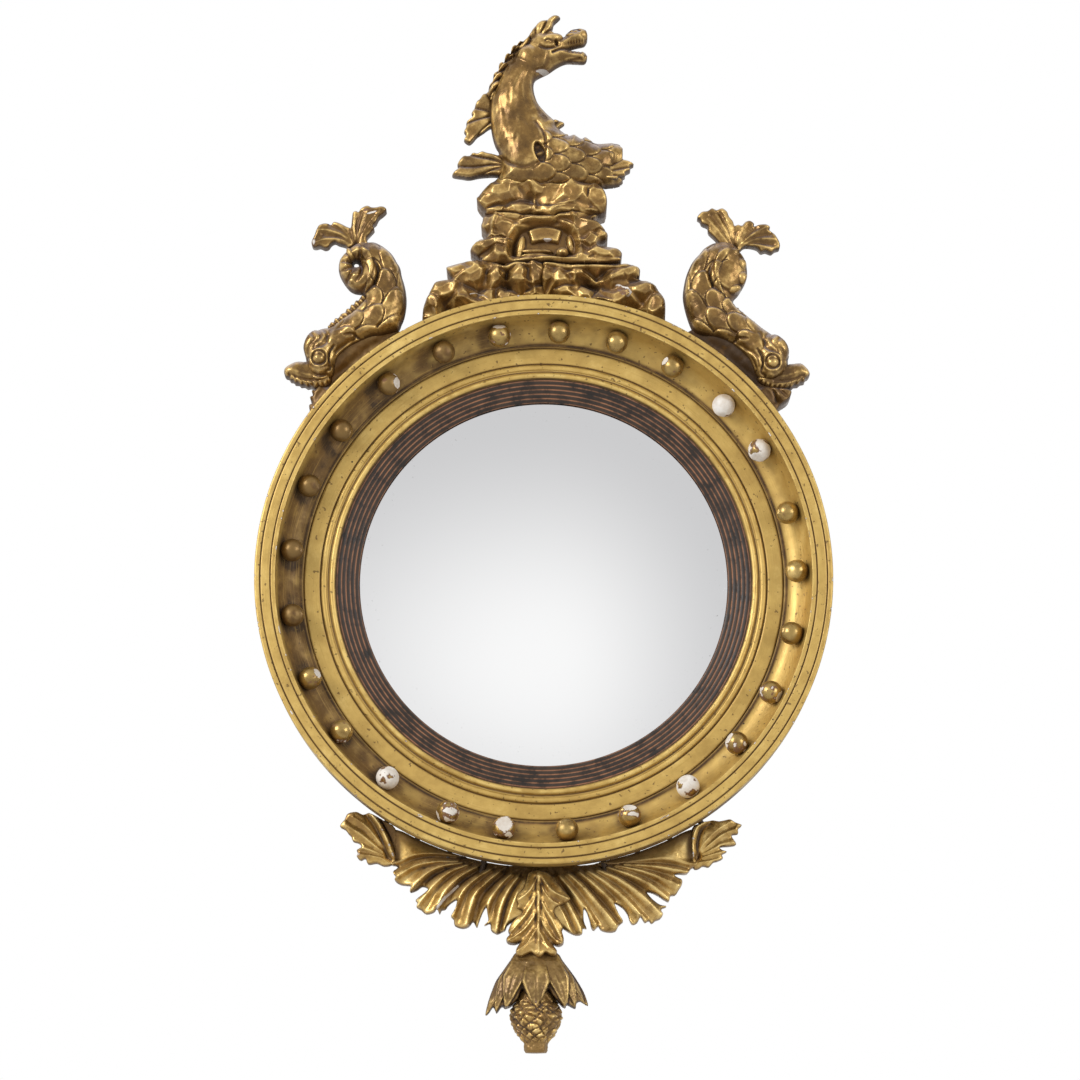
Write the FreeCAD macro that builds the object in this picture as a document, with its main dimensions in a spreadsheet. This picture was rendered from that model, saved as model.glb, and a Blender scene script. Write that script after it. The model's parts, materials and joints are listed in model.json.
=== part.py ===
"""Girandole mirror: a round convex looking glass in a turned, water-gilt frame.

Frame of the part: millimetres, +Z up, the front faces -Y, the wall is the plane Y = 0 and the
origin is where the axis of the round frame meets the wall.  "Depth" is the distance from the
wall, so a point at depth 80 has Y = -80.

The frame is three turned rings glued back to front.  A seahorse on a rock plinth crowns it, a
dolphin with a curled tail sits on each shoulder, and an acanthus apron with a pine cone
hangs below.  The carvings stand off the rings on dowels and two battens let in behind.
"""
import FreeCAD, Part
import math
import os
import Sketcher

Vector = FreeCAD.Vector
Rotation = FreeCAD.Rotation
Placement = FreeCAD.Placement

# ---------------------------------------------------------------- sizes
# name, value (mm, degrees or a count), what it is
SIZES = [
    # depths, stacked from the wall to the front
    ("recess_depth", 12.0, "open recess behind the backboard"),
    ("board_thickness", 8.0, "thickness of the backboard planks"),
    ("ledge_thickness", 10.0, "thickness of the ledge ring that carries the backboard"),
    ("lip_rise", 15.0, "underside of the overhanging lip, above the ledge ring"),
    ("flat_rise", 10.0, "inner flat of the frame, above the ledge ring"),
    ("hollow_rise", 38.0, "rise of the hollow from its fillet to the front of the lip"),
    # radii, from the glass outwards
    ("sight_radius", 196.1, "inner edge of the ebonised slip"),
    ("glass_cover", 6.9, "how far the slip covers the edge of the glass"),
    ("glass_play", 9.0, "room round the edge of the glass"),
    ("slip_width", 24.0, "width of the slip"),
    ("bead_width", 6.6, "width of the half-round bead next to the slip"),
    ("bead_margin", 0.7, "flat inside the bead"),
    ("quirk_width", 2.55, "gap between the bead and the small round"),
    ("cyma_width", 5.7, "width of the small round outside the bead"),
    ("cyma_margin", 0.95, "flat outside the small round"),
    ("flat_width", 17.6, "flat between its two scratch grooves"),
    ("fillet_width", 3.2, "fillet at the foot of the hollow"),
    ("hollow_width", 24.7, "width of the hollow"),
    ("lip_width", 21.7, "width of the front of the lip"),
    ("lip_overhang", 16.0, "overhang of the lip past the back of the frame"),
    ("rim_width", 26.0, "width of the rim round the backboard"),
    # small members
    ("fillet_height", 2.0, "fillet at the foot of the hollow, above the flat"),
    ("groove_depth", 1.4, "depth of the turned scratch grooves"),
    ("groove_width", 1.6, "width of the turned scratch grooves"),
    ("groove_one", 6.0, "outer lip groove, in from the lip's edge"),
    ("groove_two", 16.7, "inner lip groove, in from the lip's edge"),
    ("lip_ease", 1.0, "eased outer arris of the lip"),
    ("bead_rise", 3.4, "rise of the half-round bead over the flat"),
    ("cyma_rise", 1.6, "rise of the small round over the flat"),
    # slip and glass
    ("slip_step", 4.0, "step that the slip lies on, above the ledge ring"),
    ("slip_thickness", 5.0, "thickness of the slip at its outer edge"),
    ("slip_edge", 2.3, "thickness of the slip at the glass"),
    ("slip_margin", 1.0, "flat outside the reeds"),
    ("reed_groove", 0.8, "depth of the grooves between the reeds"),
    ("glass_rise", 28.0, "rise of the convex plate over its edge"),
    ("glass_thickness", 4.0, "thickness of the plate"),
    ("wedge_thickness", 4.0, "glazing wedges, between backboard and plate"),
    ("wedge_count", 8.0, "glazing wedges"),
    ("wedge_length", 34.0, "length of a glazing wedge"),
    ("wedge_width", 13.0, "radial width of a glazing wedge"),
    ("wedge_inset", 3.0, "glazing wedge, in from the bore"),
    # balls
    ("ball_count", 25.0, "balls in the hollow"),
    ("ball_radius", 12.0, "radius of a ball"),
    ("ball_inset", 9.8, "circle of balls, out from the foot of the hollow"),
    ("ball_rise", 18.5, "centre of a ball, above the foot of the hollow"),
    ("ball_turn", 3.2, "first ball, clockwise from the top, degrees"),
    ("peg_radius", 3.0, "peg of a ball"),
    ("peg_rest", 6.0, "wood left under the foot of a peg"),
    # fits
    ("glue_line", 0.2, "glue line between glued faces"),
    ("fit", 0.2, "clearance round a dowel, peg or screw"),
    ("board_play", 1.0, "play of the backboard in its rebate"),
    ("plank_gap", 0.4, "joint between planks"),
    ("plank_width", 174.0, "width of the middle plank"),
    # screws
    ("screw_radius", 2.0, "shank of a wood screw"),
    ("screw_head_radius", 4.0, "head of a wood screw"),
    ("screw_head_height", 1.6, "height of a wood screw's head"),
    ("board_screw_count", 10.0, "screws round the backboard"),
    ("board_screw_inset", 24.0, "circle of the backboard screws, in from the rim"),
    ("board_screw_length", 14.0, "length of a backboard screw's shank"),
    # battens
    ("batten_inset", 2.0, "gap between a batten and the wall"),
    ("crest_batten_width", 60.0, "width of the crest batten"),
    ("crest_batten_rise", 118.0, "crest batten above the lip"),
    ("apron_batten_width", 30.0, "width of the apron batten"),
    ("apron_batten_drop", 150.0, "apron batten below the lip"),
    ("batten_reach", 36.0, "each batten inside the rim"),
    ("batten_screw_length", 22.0, "length of a batten screw's shank"),
    ("batten_screw_inset", 12.0, "innermost batten screws, from the batten's end"),
    # carvings
    ("drawn_lip", 304.0, "lip radius that the carvings' outlines are drawn for"),
    ("rock_thickness", 60.0, "thickness of the rocks"),
    ("rock_taper", 0.08, "how much the rocks narrow to the front, as a share"),
    ("horse_standoff", 40.0, "middle of the seahorse, off the battens"),
    ("dolphin_standoff", 38.0, "middle of the dolphins, off the battens"),
    ("dolphin_angle", 50.0, "dolphins, from the top, degrees"),
    ("dolphin_thickness", 46.0, "thickness of a dolphin's body"),
    ("leaf_thickness", 24.0, "thickness of the apron leaves"),
    ("tip_lift", 4.0, "tip leaves, lifted towards the front"),
    ("centre_leaf_thickness", 42.0, "thickness of the centre leaf"),
    ("pendant_offset", -8.0, "how far the pendant hangs to the right"),
    ("pendant_standoff", 28.0, "axis of the pendant, off the batten"),
    ("calyx_thickness", 27.0, "half thickness of the calyx"),
    ("cone_radius", 27.5, "largest radius of the pine cone"),
    ("cone_length", 48.0, "length of the pine cone"),
    ("cone_top", 145.0, "top of the pine cone, below the lip"),
    ("cone_peg_radius", 8.0, "peg of the pine cone"),
    ("cone_peg_length", 30.0, "length of the cone's peg"),
    # dowels
    ("dowel_radius", 3.0, "dowels between carvings and ledge ring"),
    ("dowel_sink", 16.0, "dowels inside the ledge ring"),
    ("dowel_reach", 17.0, "dowels past the lip"),
    ("crest_dowel_radius", 4.0, "dowels that stack the crest's blocks"),
    ("crest_dowel_length", 24.0, "length of a crest dowel"),
    # hangers
    ("hanger_offset", 110.0, "hangers, from the centre line"),
    ("hanger_drop", 90.0, "hinge of the hanger rings, below the rim's inner radius"),
    ("strap_width", 16.0, "width of a hanger strap"),
    ("strap_length", 54.0, "length of a hanger strap"),
    ("strap_thickness", 2.0, "thickness of a hanger strap"),
    ("strap_tail", 7.0, "strap below the hinge"),
    ("lug_width", 4.0, "width of the eye on the strap"),
    ("lug_wall", 2.3, "wall of the eye on the strap"),
    ("ring_wire", 2.0, "radius of the hanger ring's wire"),
    ("ring_radius", 18.0, "radius of the hanger ring's circle"),
    ("ring_play", 0.3, "clearance of the ring in its eye"),
    ("ring_standoff", 4.0, "hinge of the ring, off the strap"),
    ("strap_screw_pitch", 20.0, "distance between the strap's screws"),
    ("strap_screw_rise", 18.0, "first strap screw, above the hinge"),
    ("strap_screw_length", 15.0, "length of a strap screw's shank"),
]

# sizes worked out from those above: name, formula in the sheet, what it is
WORKED_OUT = [
    ("board_back", "recess_depth", "back of the backboard"),
    ("board_front", "board_back + board_thickness", "front of the backboard"),
    ("ring_joint", "board_front + ledge_thickness", "joint between back and front rings"),
    ("lip_back", "ring_joint + lip_rise", "underside of the overhanging lip"),
    ("flat_depth", "ring_joint + flat_rise", "inner flat of the frame"),
    ("fillet_depth", "flat_depth + fillet_height", "foot of the hollow"),
    ("lip_front", "fillet_depth + hollow_rise", "front of the lip"),
    ("slip_seat", "ring_joint + slip_step", "step that the slip lies on"),
    ("slip_front", "slip_seat + slip_thickness", "front of the slip at its outer edge"),
    ("glass_back", "board_front + wedge_thickness", "back of the plate's edge"),
    ("glass_edge", "glass_back + glass_thickness", "front of the plate at its edge"),
    ("glass_radius", "sight_radius + glass_cover", "edge of the plate"),
    ("sphere_radius", "(glass_radius ^ 2 + glass_rise ^ 2) / (2 * glass_rise)", "plate's sphere"),
    ("sphere_depth", "glass_edge + glass_rise - sphere_radius", "centre of the plate's sphere"),
    ("glass_at_sight", "sphere_depth + sqrt(sphere_radius ^ 2 - sight_radius ^ 2)",
     "front of the plate under the slip's inner edge"),
    ("slip_lining", "glass_at_sight + glue_line", "back of the slip over the plate"),
    ("slip_inner", "slip_lining + slip_edge", "front of the slip at the glass"),
    ("reed_pitch", "(slip_width - slip_margin) / 5", "pitch of the slip's reeds"),
    ("bore_radius", "glass_radius + glass_play", "bore of both rings behind the slip"),
    ("slip_outer", "sight_radius + slip_width", "outer edge of the slip"),
    ("bead_start", "slip_outer + glue_line", "inner edge of the frame round the slip"),
    ("bead_radius", "bead_start + bead_margin + bead_width / 2", "middle of the bead"),
    ("cyma_radius", "bead_radius + bead_width / 2 + quirk_width + cyma_width / 2",
     "middle of the small round"),
    ("flat_inner", "cyma_radius + cyma_width / 2 + cyma_margin", "inner groove of the flat"),
    ("flat_outer", "flat_inner + flat_width", "outer groove of the flat"),
    ("hollow_inner", "flat_outer + fillet_width", "inner edge of the hollow"),
    ("lip_radius", "hollow_inner + hollow_width + lip_width", "outer edge of the lip"),
    ("back_radius", "lip_radius - lip_overhang", "outer face under the lip"),
    ("rebate_radius", "back_radius - rim_width", "rebate of the backboard"),
    ("ball_circle", "hollow_inner + ball_inset", "circle of balls"),
    ("ball_depth", "fillet_depth + ball_rise", "centres of the balls"),
    ("peg_foot", "ring_joint + peg_rest", "foot of a peg"),
    ("batten_foot", "rebate_radius - batten_reach", "inner end of a batten"),
    ("board_screw_circle", "rebate_radius - board_screw_inset", "circle of backboard screws"),
    ("hanger_height", "rebate_radius - hanger_drop", "hinge of the hanger rings"),
    ("strap_back", "board_back - strap_thickness", "back of a hanger strap"),
    ("hinge_depth", "strap_back - ring_standoff", "hinge of a hanger ring"),
    ("lug_radius", "ring_wire + ring_play + lug_wall", "eye on the strap"),
    ("dowel_depth", "board_front + ledge_thickness / 2", "dowels in the ledge ring"),
    ("dowel_foot", "back_radius - dowel_sink", "inner end of a dowel"),
    ("horse_depth", "board_back + horse_standoff", "middle of the seahorse"),
    ("dolphin_depth", "board_back + dolphin_standoff", "middle of the dolphins"),
    ("rock_front", "board_back + rock_thickness", "front of the rocks"),
    ("leaf_front", "board_back + leaf_thickness", "front of the apron leaves"),
    ("centre_leaf_front", "board_back + centre_leaf_thickness", "front of the centre leaf"),
    ("pendant_depth", "board_back + pendant_standoff", "axis of the pendant"),
    ("spread", "lip_radius / drawn_lip", "carvings' outlines, against the frame they fit"),
    ("crest_batten_top", "lip_radius + crest_batten_rise * spread", "top of the crest batten"),
    ("apron_batten_end", "lip_radius + apron_batten_drop * spread", "lower end of the apron batten"),
    ("pendant_x", "pendant_offset * spread", "the pendant's middle"),
    ("cone_seat", "lip_radius + cone_top * spread", "top of the pine cone"),
]

doc = FreeCAD.newDocument("GirandoleMirror")
sheet = doc.addObject("Spreadsheet::Sheet", "Sizes")
for row, (alias, value, note) in enumerate(SIZES + WORKED_OUT, 1):
    sheet.set("A%d" % row, note)
    sheet.set("B%d" % row, "=" + value if isinstance(value, str) else str(value))
    sheet.setAlias("B%d" % row, alias)
doc.recompute()


def size(alias):
    """The value of one size in the sheet."""
    return float(sheet.get(alias))


def bind(thing, **formulas):
    """Tie properties to the sheet; Placement.Base.x is written Placement_Base_x."""
    for prop, formula in formulas.items():
        thing.setExpression(prop.replace("_", "."), formula)


# ---------------------------------------------------------------- turned pieces
def profile(body, name, role, corners):
    """A closed sketch on one of the body's origin planes; each corner is two formulas."""
    plane = [item for item in body.Origin.OriginFeatures if item.Role == role][0]
    sketch = body.newObject("Sketcher::SketchObject", name)
    sketch.AttachmentSupport = [(plane, "")]
    sketch.MapMode = "FlatFace"
    count = len(corners)
    for index in range(count):
        start = Vector(10 + index, index * index, 0)
        after = (index + 1) % count
        end = Vector(10 + after, after * after, 0)
        sketch.addGeometry(Part.LineSegment(start, end), False)
    for index in range(count):
        sketch.addConstraint(Sketcher.Constraint("Coincident", index, 2, (index + 1) % count, 1))
    for index, (across, along) in enumerate(corners):
        for kind, formula in (("DistanceX", across), ("DistanceY", along)):
            number = sketch.addConstraint(Sketcher.Constraint(kind, index, 1, 1.0))
            sketch.setExpression("Constraints[%d]" % number, formula)
    return sketch


def turned(name, corners, role="XY_Plane"):
    """A body turned about its sketch's vertical axis from (radius, along) formulas."""
    body = doc.addObject("PartDesign::Body", name)
    sketch = profile(body, name + "_profile", role, corners)
    turn = body.newObject("PartDesign::Revolution", name + "_turning")
    turn.Profile = sketch
    turn.ReferenceAxis = (sketch, ["V_Axis"])
    turn.Angle = 360.0
    body.Tip = turn
    return body


def from_wall(rows):
    """(radius, depth) formulas, for a profile in the X-Y plane where depth d is Y = -d."""
    return [("%s" % radius, "-(%s)" % depth) for radius, depth in rows]


S = "Sizes."
back_rim_corners = from_wall([
    (S + "rebate_radius", "0"),
    (S + "back_radius", "0"),
    (S + "back_radius", S + "board_front"),
    (S + "rebate_radius", S + "board_front"),
])
ledge_ring_corners = from_wall([
    (S + "bore_radius", S + "board_front"),
    (S + "back_radius", S + "board_front"),
    (S + "back_radius", S + "ring_joint"),
    (S + "bore_radius", S + "ring_joint"),
])


def scratch(radius, depth):
    """Three corners of a V groove turned into a face of the given depth."""
    return [
        ("%s - %sgroove_width / 2" % (radius, S), depth),
        (radius, "%s - %sgroove_depth" % (depth, S)),
        ("%s + %sgroove_width / 2" % (radius, S), depth),
    ]


def round_over(radius, width, rise, base):
    """Corners of a half-round of five facets over the given depth."""
    rows = []
    for angle in (18, 54, 90, 126, 162):
        rows.append((
            "%s - %s / 2 * cos(%d deg)" % (radius, width, angle),
            "%s + %s * sin(%d deg)" % (base, rise, angle),
        ))
    return rows


def hollow():
    """Corners of the quarter-ellipse hollow, from its foot up to the lip."""
    rows = []
    for angle in range(90, -1, -10):
        rows.append((
            "%shollow_inner + %shollow_width * cos(%d deg)" % (S, S, angle),
            "%slip_front - %shollow_rise * sin(%d deg)" % (S, S, angle),
        ))
    return rows


flat = S + "flat_depth"
lip = S + "lip_front"
front_ring_corners = from_wall(
    [
        (S + "bore_radius", S + "ring_joint"),
        (S + "bore_radius", S + "slip_seat"),
        (S + "bead_start", S + "slip_seat"),
        (S + "bead_start", flat),
    ]
    + round_over(S + "bead_radius", S + "bead_width", S + "bead_rise", flat)
    + round_over(S + "cyma_radius", S + "cyma_width", S + "cyma_rise", flat)
    + scratch(S + "flat_inner", flat)
    + scratch(S + "flat_outer", flat)
    + [("%sflat_outer + %sgroove_width" % (S, S), S + "fillet_depth")]
    + hollow()
    + scratch("%slip_radius - %sgroove_two" % (S, S), lip)
    + scratch("%slip_radius - %sgroove_one" % (S, S), lip)
    + [
        ("%slip_radius - %slip_ease" % (S, S), lip),
        (S + "lip_radius", "%s - %slip_ease" % (lip, S)),
        (S + "lip_radius", S + "lip_back"),
        (S + "back_radius", S + "lip_back"),
        (S + "back_radius", S + "ring_joint"),
    ])


def reeds():
    """Front of the slip: five reeds stepping in and back from its outer edge to the glass."""
    rows = []
    fall = "(%sslip_front - %sslip_inner)" % (S, S)
    for index in range(6):
        radius = "%ssight_radius + %d * %sreed_pitch" % (S, index, S)
        depth = "%sslip_inner + %s * %d / 5" % (S, fall, index)
        if index > 0:
            rows.append(("%s - 0.6" % radius, depth))
            rows.append((radius, "%s - %sreed_groove" % (depth, S)))
            rows.append(("%s + 0.6" % radius, depth))
        else:
            rows.append((radius, depth))
    return rows


slip_corners = from_wall(
    reeds()
    + [
        (S + "slip_outer", S + "slip_front"),
        (S + "slip_outer", S + "slip_seat"),
        ("%sbore_radius - %sfit" % (S, S), S + "slip_seat"),
        ("%sbore_radius - %sfit" % (S, S), S + "slip_lining"),
        (S + "sight_radius", S + "slip_lining"),
    ])

back_rim_turned = turned("BackRimTurned", back_rim_corners)
ledge_ring_turned = turned("LedgeRingTurned", ledge_ring_corners)
front_ring_turned = turned("FrontRingTurned", front_ring_corners)
slip_turned = turned("SlipTurned", slip_corners)
slip_turned.Label = "ebonised_slip"
doc.recompute()


# ---------------------------------------------------------------- round and square stock
TO_FRONT = Rotation(Vector(1, 0, 0), 90)    # stands a cylinder's axis along -Y, wall to front


def rod(name, radius, length, x, depth, z):
    """A round bar that starts at the given depth and runs towards the front."""
    bar = doc.addObject("Part::Cylinder", name)
    bar.Placement = Placement(Vector(0, 0, 0), TO_FRONT)
    bind(bar, Radius=radius, Height=length)
    bind(bar, Placement_Base_x=x, Placement_Base_y="-(%s)" % depth, Placement_Base_z=z)
    return bar


def board(name, x, width, near, far, z, height):
    """A squared board: centred on x, between two depths, from z upwards."""
    plank = doc.addObject("Part::Box", name)
    bind(plank, Length=width, Width="%s - (%s)" % (far, near), Height=height)
    bind(plank, Placement_Base_x="%s - (%s) / 2" % (x, width))
    bind(plank, Placement_Base_y="-(%s)" % far, Placement_Base_z=z)
    return plank


def cut(name, base, tool):
    """Base less tool."""
    result = doc.addObject("Part::Cut", name)
    result.Base = base
    result.Tool = tool
    return result


def fuse(name, base, tool):
    """Base and tool in one."""
    result = doc.addObject("Part::Fuse", name)
    result.Base = base
    result.Tool = tool
    return result


def carved(name, shape, x=0.0, z=0.0):
    """A shape worked out below, as an object of the document, moved to its seat."""
    feature = doc.addObject("Part::Feature", name)
    feature.Shape = shape
    feature.Placement = Placement(Vector(x, 0, z), Rotation()).multiply(shape.Placement)
    return feature


def around(name, master, places):
    """The same piece at each of the places."""
    shapes = []
    for place in places:
        copy = master.Shape.copy()
        copy.Placement = place.multiply(copy.Placement)
        shapes.append(copy)
    return carved(name, Part.makeCompound(shapes))


def turn_about_axis(angle):
    """Clockwise turn, seen from the front, about the axis of the frame."""
    return Placement(Vector(0, 0, 0), Rotation(Vector(0, 1, 0), angle))


def ring_places(count, first):
    """Even places clockwise round the axis."""
    step = 360.0 / count
    return [turn_about_axis(first + index * step) for index in range(int(count))]


def at_points(points):
    """Places at (x, z) points of the back."""
    return [Placement(Vector(x, 0, z), Rotation()) for x, z in points]


# ---------------------------------------------------------------- balls and their holes
ball = doc.addObject("Part::Sphere", "Ball")
bind(ball, Radius=S + "ball_radius", Placement_Base_y="-" + S + "ball_depth")
bind(ball, Placement_Base_z=S + "ball_circle")
ball_seated = cut("BallSeated", ball, front_ring_turned)
peg_length = "%sball_depth - %speg_foot" % (S, S)
peg = rod("Peg", S + "peg_radius", peg_length, "0", S + "peg_foot", S + "ball_circle")
ball_on_peg = fuse("BallOnPeg", ball_seated, peg)
peg_hole = rod("PegHole", "%speg_radius + %sfit" % (S, S), "%s + %sfit" % (peg_length, S),
               "0", "%speg_foot - %sfit" % (S, S), S + "ball_circle")
doc.recompute()

ball_places = ring_places(size("ball_count"), size("ball_turn"))
bead_balls = around("BeadBalls", ball_on_peg, ball_places)
bead_balls.Label = "bead_balls"
peg_holes = around("PegHoles", peg_hole, ball_places)
front_ring = cut("FrontRing", front_ring_turned, peg_holes)
front_ring.Label = "front_ring"

# ---------------------------------------------------------------- glass
edge = size("glass_radius")
plate_sphere = size("sphere_radius")
plate_centre = size("sphere_depth")
ball_front = Part.makeSphere(plate_sphere, Vector(0, -plate_centre, 0))
ball_back = Part.makeSphere(plate_sphere, Vector(0, size("glass_thickness") - plate_centre, 0))
plate_stock = Part.makeCylinder(edge, size("lip_front"), Vector(0, 0, 0), Vector(0, -1, 0))
plate_back = Part.makeCylinder(size("bore_radius"), size("glass_back"),
                               Vector(0, 0, 0), Vector(0, -1, 0))
plate = plate_stock.common(ball_front).cut(ball_back).cut(plate_back)
convex_mirror_plate = carved("MirrorPlate", plate)
convex_mirror_plate.Label = "convex_mirror_plate"

# wedges between the back of the plate's edge and the backboard, glued to the bore
wedge = board("Wedge", "0", S + "wedge_length", S + "board_front", S + "glass_back",
              "%sbore_radius - %swedge_width - %swedge_inset" % (S, S, S), S + "wedge_width")
doc.recompute()
plate_wedges = around("PlateWedges", wedge, ring_places(size("wedge_count"), 180.0 / size("wedge_count")))
plate_wedges.Label = "plate_wedges"

# ---------------------------------------------------------------- backboard of three planks
screw_shank = rod("ScrewShank", S + "screw_radius", S + "board_screw_length",
                  "0", S + "board_back", S + "board_screw_circle")
screw_head = rod("ScrewHead", S + "screw_head_radius", S + "screw_head_height",
                 "0", "%sboard_back - %sscrew_head_height" % (S, S), S + "board_screw_circle")
board_screw = fuse("BoardScrew", screw_head, screw_shank)
screw_hole = rod("ScrewHole", "%sscrew_radius + %sfit" % (S, S), "%sboard_screw_length" % S,
                 "0", "%sboard_back + %sfit" % (S, S), S + "board_screw_circle")
screw_way = rod("ScrewWay", "%sscrew_radius + %sfit" % (S, S), "%sboard_screw_length" % S,
                "0", S + "board_back", S + "board_screw_circle")
doc.recompute()
screw_places = ring_places(size("board_screw_count"), 180.0 / size("board_screw_count"))
backboard_screws = around("BackboardScrews", board_screw, screw_places)
backboard_screws.Label = "backboard_screws"
screw_holes = around("ScrewHoles", screw_hole, screw_places)
screw_ways = around("ScrewWays", screw_way, screw_places)

# ---------------------------------------------------------------- battens
batten_near = S + "batten_inset"
crest_batten_plain = board("CrestBattenPlain", "0", S + "crest_batten_width", batten_near,
                           S + "board_back", S + "batten_foot",
                           "%screst_batten_top - %sbatten_foot" % (S, S))
apron_batten_plain = board("ApronBattenPlain", S + "pendant_x", S + "apron_batten_width",
                           batten_near, S + "board_back", "-%sapron_batten_end" % S,
                           "%sapron_batten_end - %sbatten_foot" % (S, S))
crest_housing = board("CrestHousing", "0", "%screst_batten_width + 2 * %sfit" % (S, S),
                      "0", S + "board_back", S + "batten_foot", S + "back_radius")
apron_housing = board("ApronHousing", S + "pendant_x",
                      "%sapron_batten_width + 2 * %sfit" % (S, S), "0", S + "board_back",
                      "-(%sback_radius + %sbatten_foot)" % (S, S), S + "back_radius")


def wood_screw(name, length, extra=0.0):
    """A round-head screw pointing to the front, its head on the back of a batten or strap."""
    near = size("batten_inset")
    shank = Part.makeCylinder(size("screw_radius") + extra, size(length) + extra,
                              Vector(0, -near, 0), Vector(0, -1, 0))
    head = Part.makeCylinder(size("screw_head_radius") + extra, size("screw_head_height"),
                             Vector(0, -near + size("screw_head_height"), 0), Vector(0, -1, 0))
    return carved(name, shank.fuse(head)), carved(name + "Shank", shank)


# battens' screws: across, and from the batten's end or the lip as outlines are drawn
spread = size("spread")
lip_top = size("lip_radius")
batten_end = size("batten_foot") + size("batten_screw_inset")
pendant_x = size("pendant_x")
crest_screw_points = [(-18.0 * spread, batten_end), (18.0 * spread, batten_end)]
for x, z in ((-18, 22), (18, 22), (-20, 91), (20, 91), (-10, 108), (10, 108)):
    crest_screw_points.append((x * spread, lip_top + z * spread))
apron_screw_points = [(pendant_x, -batten_end)]
for x, z in ((-9, 18), (9, 18), (0, 64), (0, 112)):
    apron_screw_points.append((pendant_x + x * spread, -lip_top - z * spread))
batten_screw, batten_shank = wood_screw("BattenScrew", "batten_screw_length")
batten_bore = wood_screw("BattenBore", "batten_screw_length", size("fit"))[1]
crest_screws = around("CrestScrews", batten_screw, at_points(crest_screw_points))
crest_screws.Label = "crest_screws"
apron_screws = around("ApronScrews", batten_screw, at_points(apron_screw_points))
apron_screws.Label = "apron_screws"
crest_bores = around("CrestBores", batten_bore, at_points(crest_screw_points))
apron_bores = around("ApronBores", batten_bore, at_points(apron_screw_points))
crest_batten = cut("CrestBatten", crest_batten_plain, crest_bores)
crest_batten.Label = "crest_batten"
apron_batten = cut("ApronBatten", apron_batten_plain, apron_bores)
apron_batten.Label = "apron_batten"
doc.recompute()

# ---------------------------------------------------------------- hangers
STRAP_SIDES = (("left", -1.0), ("right", 1.0))
strap_back = size("strap_back")
hinge_depth = size("hinge_depth")


def strap_shape():
    """Brass strap with the eye that the ring hangs in, its hinge at x = 0, z = 0."""
    plate_shape = Part.makeBox(size("strap_width"), size("strap_thickness"), size("strap_length"),
                               Vector(-size("strap_width") / 2, -size("recess_depth"),
                                      -size("strap_tail")))
    eye = Part.makeCylinder(size("lug_radius"), size("lug_width"),
                            Vector(-size("lug_width") / 2, -hinge_depth, 0), Vector(1, 0, 0))
    foot = Part.makeBox(size("lug_width"), size("ring_standoff"), 2 * size("lug_radius"),
                        Vector(-size("lug_width") / 2, -strap_back, -size("lug_radius")))
    bore = Part.makeCylinder(size("ring_wire") + size("ring_play"), size("lug_width") + 2,
                             Vector(-size("lug_width") / 2 - 1, -hinge_depth, 0), Vector(1, 0, 0))
    return plate_shape.fuse(eye).fuse(foot).cut(bore).removeSplitter()


def strap_screw(extra):
    """Screw of a strap, pointing to the front."""
    length = size("strap_screw_length") + extra
    shank = Part.makeCylinder(size("screw_radius") + extra, length,
                              Vector(0, -strap_back, 0), Vector(0, -1, 0))
    head = Part.makeCylinder(size("screw_head_radius"), size("screw_head_height"),
                             Vector(0, -strap_back + size("screw_head_height"), 0),
                             Vector(0, -1, 0))
    return shank, shank.fuse(head)


strap_screw_points = []
for side, sign in STRAP_SIDES:
    for index in range(2):
        rise_here = size("strap_screw_rise") + index * size("strap_screw_pitch")
        strap_screw_points.append((sign * size("hanger_offset"),
                                   size("hanger_height") + rise_here))
strap_screw_solid = carved("StrapScrew", strap_screw(0.0)[1])
strap_bore_solid = carved("StrapBore", strap_screw(size("fit"))[0])
hanger_screws = around("HangerScrews", strap_screw_solid, at_points(strap_screw_points))
hanger_screws.Label = "hanger_screws"
strap_bores = around("StrapBores", strap_bore_solid, at_points(strap_screw_points))

hanger_parts = []
for side, sign in STRAP_SIDES:
    strap_plain = carved("StrapPlain" + side.title(), strap_shape(),
                         sign * size("hanger_offset"), size("hanger_height"))
    strap = cut("Strap" + side.title(), strap_plain, strap_bores)
    strap.Label = "hanger_strap_" + side
    ring = doc.addObject("Part::Torus", "HangerRing" + side.title())
    ring.Label = "hanger_ring_" + side
    ring.Placement = Placement(Vector(0, 0, 0), TO_FRONT)
    bind(ring, Radius1=S + "ring_radius", Radius2=S + "ring_wire")
    bind(ring, Placement_Base_x="%d * %shanger_offset" % (sign, S))
    bind(ring, Placement_Base_y="-%shinge_depth" % S)
    bind(ring, Placement_Base_z="%shanger_height - %sring_radius" % (S, S))
    hanger_parts += [strap, ring]
doc.recompute()

# ---------------------------------------------------------------- dowels into the back ring
# clock angles, from the top, of the dowels under the carvings
DOLPHIN_DOWELS = (2.0, 12.0)
LEFT_APRON_DOWELS = (213.0, 206.0, 199.0, 192.0)
RIGHT_APRON_DOWELS = (147.0, 154.0, 161.0, 168.0)


def dowel(name, extra):
    """A dowel standing on the back ring at the top, through its outer face."""
    length = size("lip_radius") + size("dowel_reach") - size("dowel_foot") + 2 * extra
    return carved(name, Part.makeCylinder(size("dowel_radius") + extra, length,
                                          Vector(0, -size("dowel_depth"),
                                                 size("dowel_foot") - extra),
                                          Vector(0, 0, 1)))


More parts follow.
